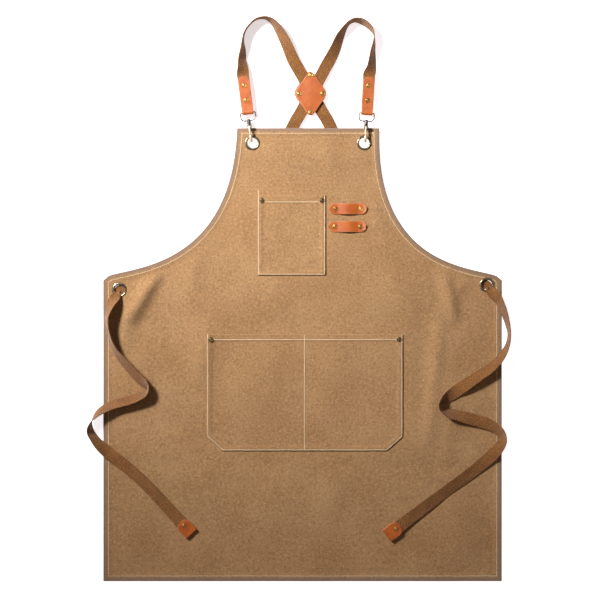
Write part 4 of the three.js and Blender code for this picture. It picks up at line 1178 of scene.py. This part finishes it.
def make_hook(side):
    """The hook's wire, the collar and ears that turn in the bail, the gate, its pin and its spring."""
    bend = [(0, s, z) for s, z in arc(9.4, 0, LEG, -math.pi / 2, -1.5 * math.pi, 13)]
    back = [(0, 30, -3.0), (0, 28.6, -4.6), (0, 26.5, -7.2), (0, 23, -LEG), (0, 17, -LEG)]
    line = [*back, *bend, (0, 10.9, LEG)]
    wire = tube(smooth_line(line, 3), WIRE, 18)
    wire[0][:, 0] *= 1 + 0.3 * (1 - smooth_step(20, 27, wire[0][:, 1]))
    collar = along_axis(turned([
        (0, 26.9), (3.2, 26.9), (3.9, 27.4), (4.2, 28.2), (4.2, 29.6), (3.7, 30.5), (2.6, 31), (1.8, 31.1),
        (1.8, 39.3), (2.6, 39.4), (3.0, 39.8), (2.8, 40.3), (1.8, 40.6), (0, 40.7),
    ], 32))
    cheek = [
        (24.4, 9.2), (24.3, 3.6), (26.6, 2.2), (27, -4.6), (29.4, -4.2), (30, 0), (30, 5.6), (29.3, 8),
        (28, 9.4),
    ]
    cheeks = [prism(cheek, low, high, 0.25) for low, high in ((-3.5, -2.15), (2.15, 3.5))]
    local_make(f"hook_wire_{side}", side, wire, f"hook_{side}", [f"snap_hook_{side}"])
    local_make(f"hook_swivel_{side}", side, joined([collar, *cheeks]), f"hook_{side}", [], DARK_NICKEL)
    s, v = PIVOT
    points, faces = turned([
        (0, -3.9), (0.8, -3.9), (1.15, -3.6), (0.9, -3.4), (0.9, 3.4), (1.15, 3.6), (0.8, 3.9), (0, 3.9),
    ], 20)
    pin = np.column_stack([points[:, 2], s + points[:, 0], v + points[:, 1]]), faces
    local_make(f"gate_pin_metal_{side}", side, pin, f"hook_{side}", [f"gate_pin_{side}"])
    coil = [
        (1.05 + 0.32 * turn, s + 1.45 * math.cos(turn * 2 * math.pi), v + 1.45 * math.sin(turn * 2 * math.pi))
        for turn in np.linspace(0, 2.6, 40)
    ]
    local_make(f"gate_spring_metal_{side}", side, tube(coil, 0.2, 8), f"hook_{side}", [f"gate_spring_{side}"])
    rear = arc(s, v, 1.9, -math.pi / 2, math.pi / 2, 9)
    lever = [(11.5, 9.35), (11.4, 8.6), (11.6, 7.1), (18, 6.3), *rear, (20, 9.4), (14, 9.45)]
    gate = prism(lever, GATE_LEFT, GATE_RIGHT, 0.4)
    local_make(f"gate_metal_{side}", side, gate, f"gate_{side}", [f"gate_{side}"])


def make_bail(side):
    """A D ring, with the boss that the hook's post turns in."""
    half, low, high, corner, tight = 13.0, 37.8, 52.0, 6.5, 1.6
    quarter = math.pi / 2
    line = [
        (0, high), *arc(half - tight, high - tight, tight, quarter, 0, 6),
        *arc(half - corner, low + corner, corner, 0, -quarter, 9),
        *arc(corner - half, low + corner, corner, -quarter, -2 * quarter, 9),
        *arc(tight - half, high - tight, tight, 2 * quarter, quarter, 6), (0, high),
    ]
    ring = tube([(across, along, 0) for across, along in line], 1.15, 16)
    boss = along_axis(closed_turned([
        (2.1, 31.3), (3.0, 31.3), (3.5, 31.9), (3.6, 33), (3.3, 35.4), (3.6, 37.2), (3.4, 38.6), (2.6, 39),
        (2.1, 39),
    ], 32))
    bail = joined([ring, boss])
    local_make(f"bail_metal_{side}", side, bail, f"bail_{side}", [f"bail_{side}"], DARK_NICKEL)


for side in SIDES:
    make_hook(side)
    make_bail(side)


# ---- the outline's x and y ----

x, y = OUTLINE[:, 0], OUTLINE[:, 1]


# ---- floor and light ----


FLOOR_REACH = 6.0
FLOOR_Z = -0.2 * MM


def make_floor():
    """A white sweep that glows a little less toward the key light, where the shadows show."""
    mesh = bpy.data.meshes.new("floor")
    corners = [(-1, -1), (1, -1), (1, 1), (-1, 1)]
    mesh.from_pydata([(x * FLOOR_REACH, y * FLOOR_REACH, FLOOR_Z) for x, y in corners], [], [(0, 1, 2, 3)])
    floor = bpy.data.objects.new("floor", mesh)
    bpy.context.scene.collection.objects.link(floor)
    m = Nodes("floor", Roughness=0.95, Specular_IOR_Level=0.0)
    m.shader.inputs["Base Color"].default_value = (0.93, 0.915, 0.925, 1)
    m.shader.inputs["Emission Color"].default_value = (1, 0.96, 0.985, 1)
    apart = m.add("SeparateXYZ", i0=m.position())
    away = m.math("SUBTRACT", apart.outputs[0], m.math("MULTIPLY", apart.outputs[1], 0.7))
    glow = m.add("MapRange", Value=away)
    for key, value in (("From Min", -0.47), ("From Max", -0.05), ("To Min", 0.55), ("To Max", 0.92)):
        glow.inputs[key].default_value = value
    m.link(glow.outputs["Result"], m.shader.inputs["Emission Strength"])
    mesh.materials.append(m.material)


def make_light(name, location, target, size, power, colour, spread=math.pi):
    light = bpy.data.lights.new(name, "AREA")
    light.shape = "DISK"
    light.size = size
    light.energy = power
    light.color = colour
    light.spread = spread
    obj = bpy.data.objects.new(name, light)
    bpy.context.scene.collection.objects.link(obj)
    obj.location = location
    obj.rotation_mode = "QUATERNION"
    obj.rotation_quaternion = (Vector(target) - Vector(location)).to_track_quat("-Z", "Y")


make_floor()
make_light("key", (-1.44, 1.2, 1.8), (-0.12, 0.3, 0.0), 0.5, 9.7, (0.96, 0.985, 0.99), math.radians(50))
make_light("fill", (1.6, -1.2, 2.4), (0.0, 0.0, 0.0), 2.4, 1.6, (1.0, 0.93, 0.86))

world = bpy.data.worlds.new("studio")
bpy.context.scene.world = world
world.use_nodes = True
background = world.node_tree.nodes["Background"]
background.inputs["Color"].default_value = (1, 0.9, 0.8, 1)
background.inputs["Strength"].default_value = 0.12
bpy.context.scene.view_settings.view_transform = "Standard"
bpy.context.scene.view_settings.look = "None"
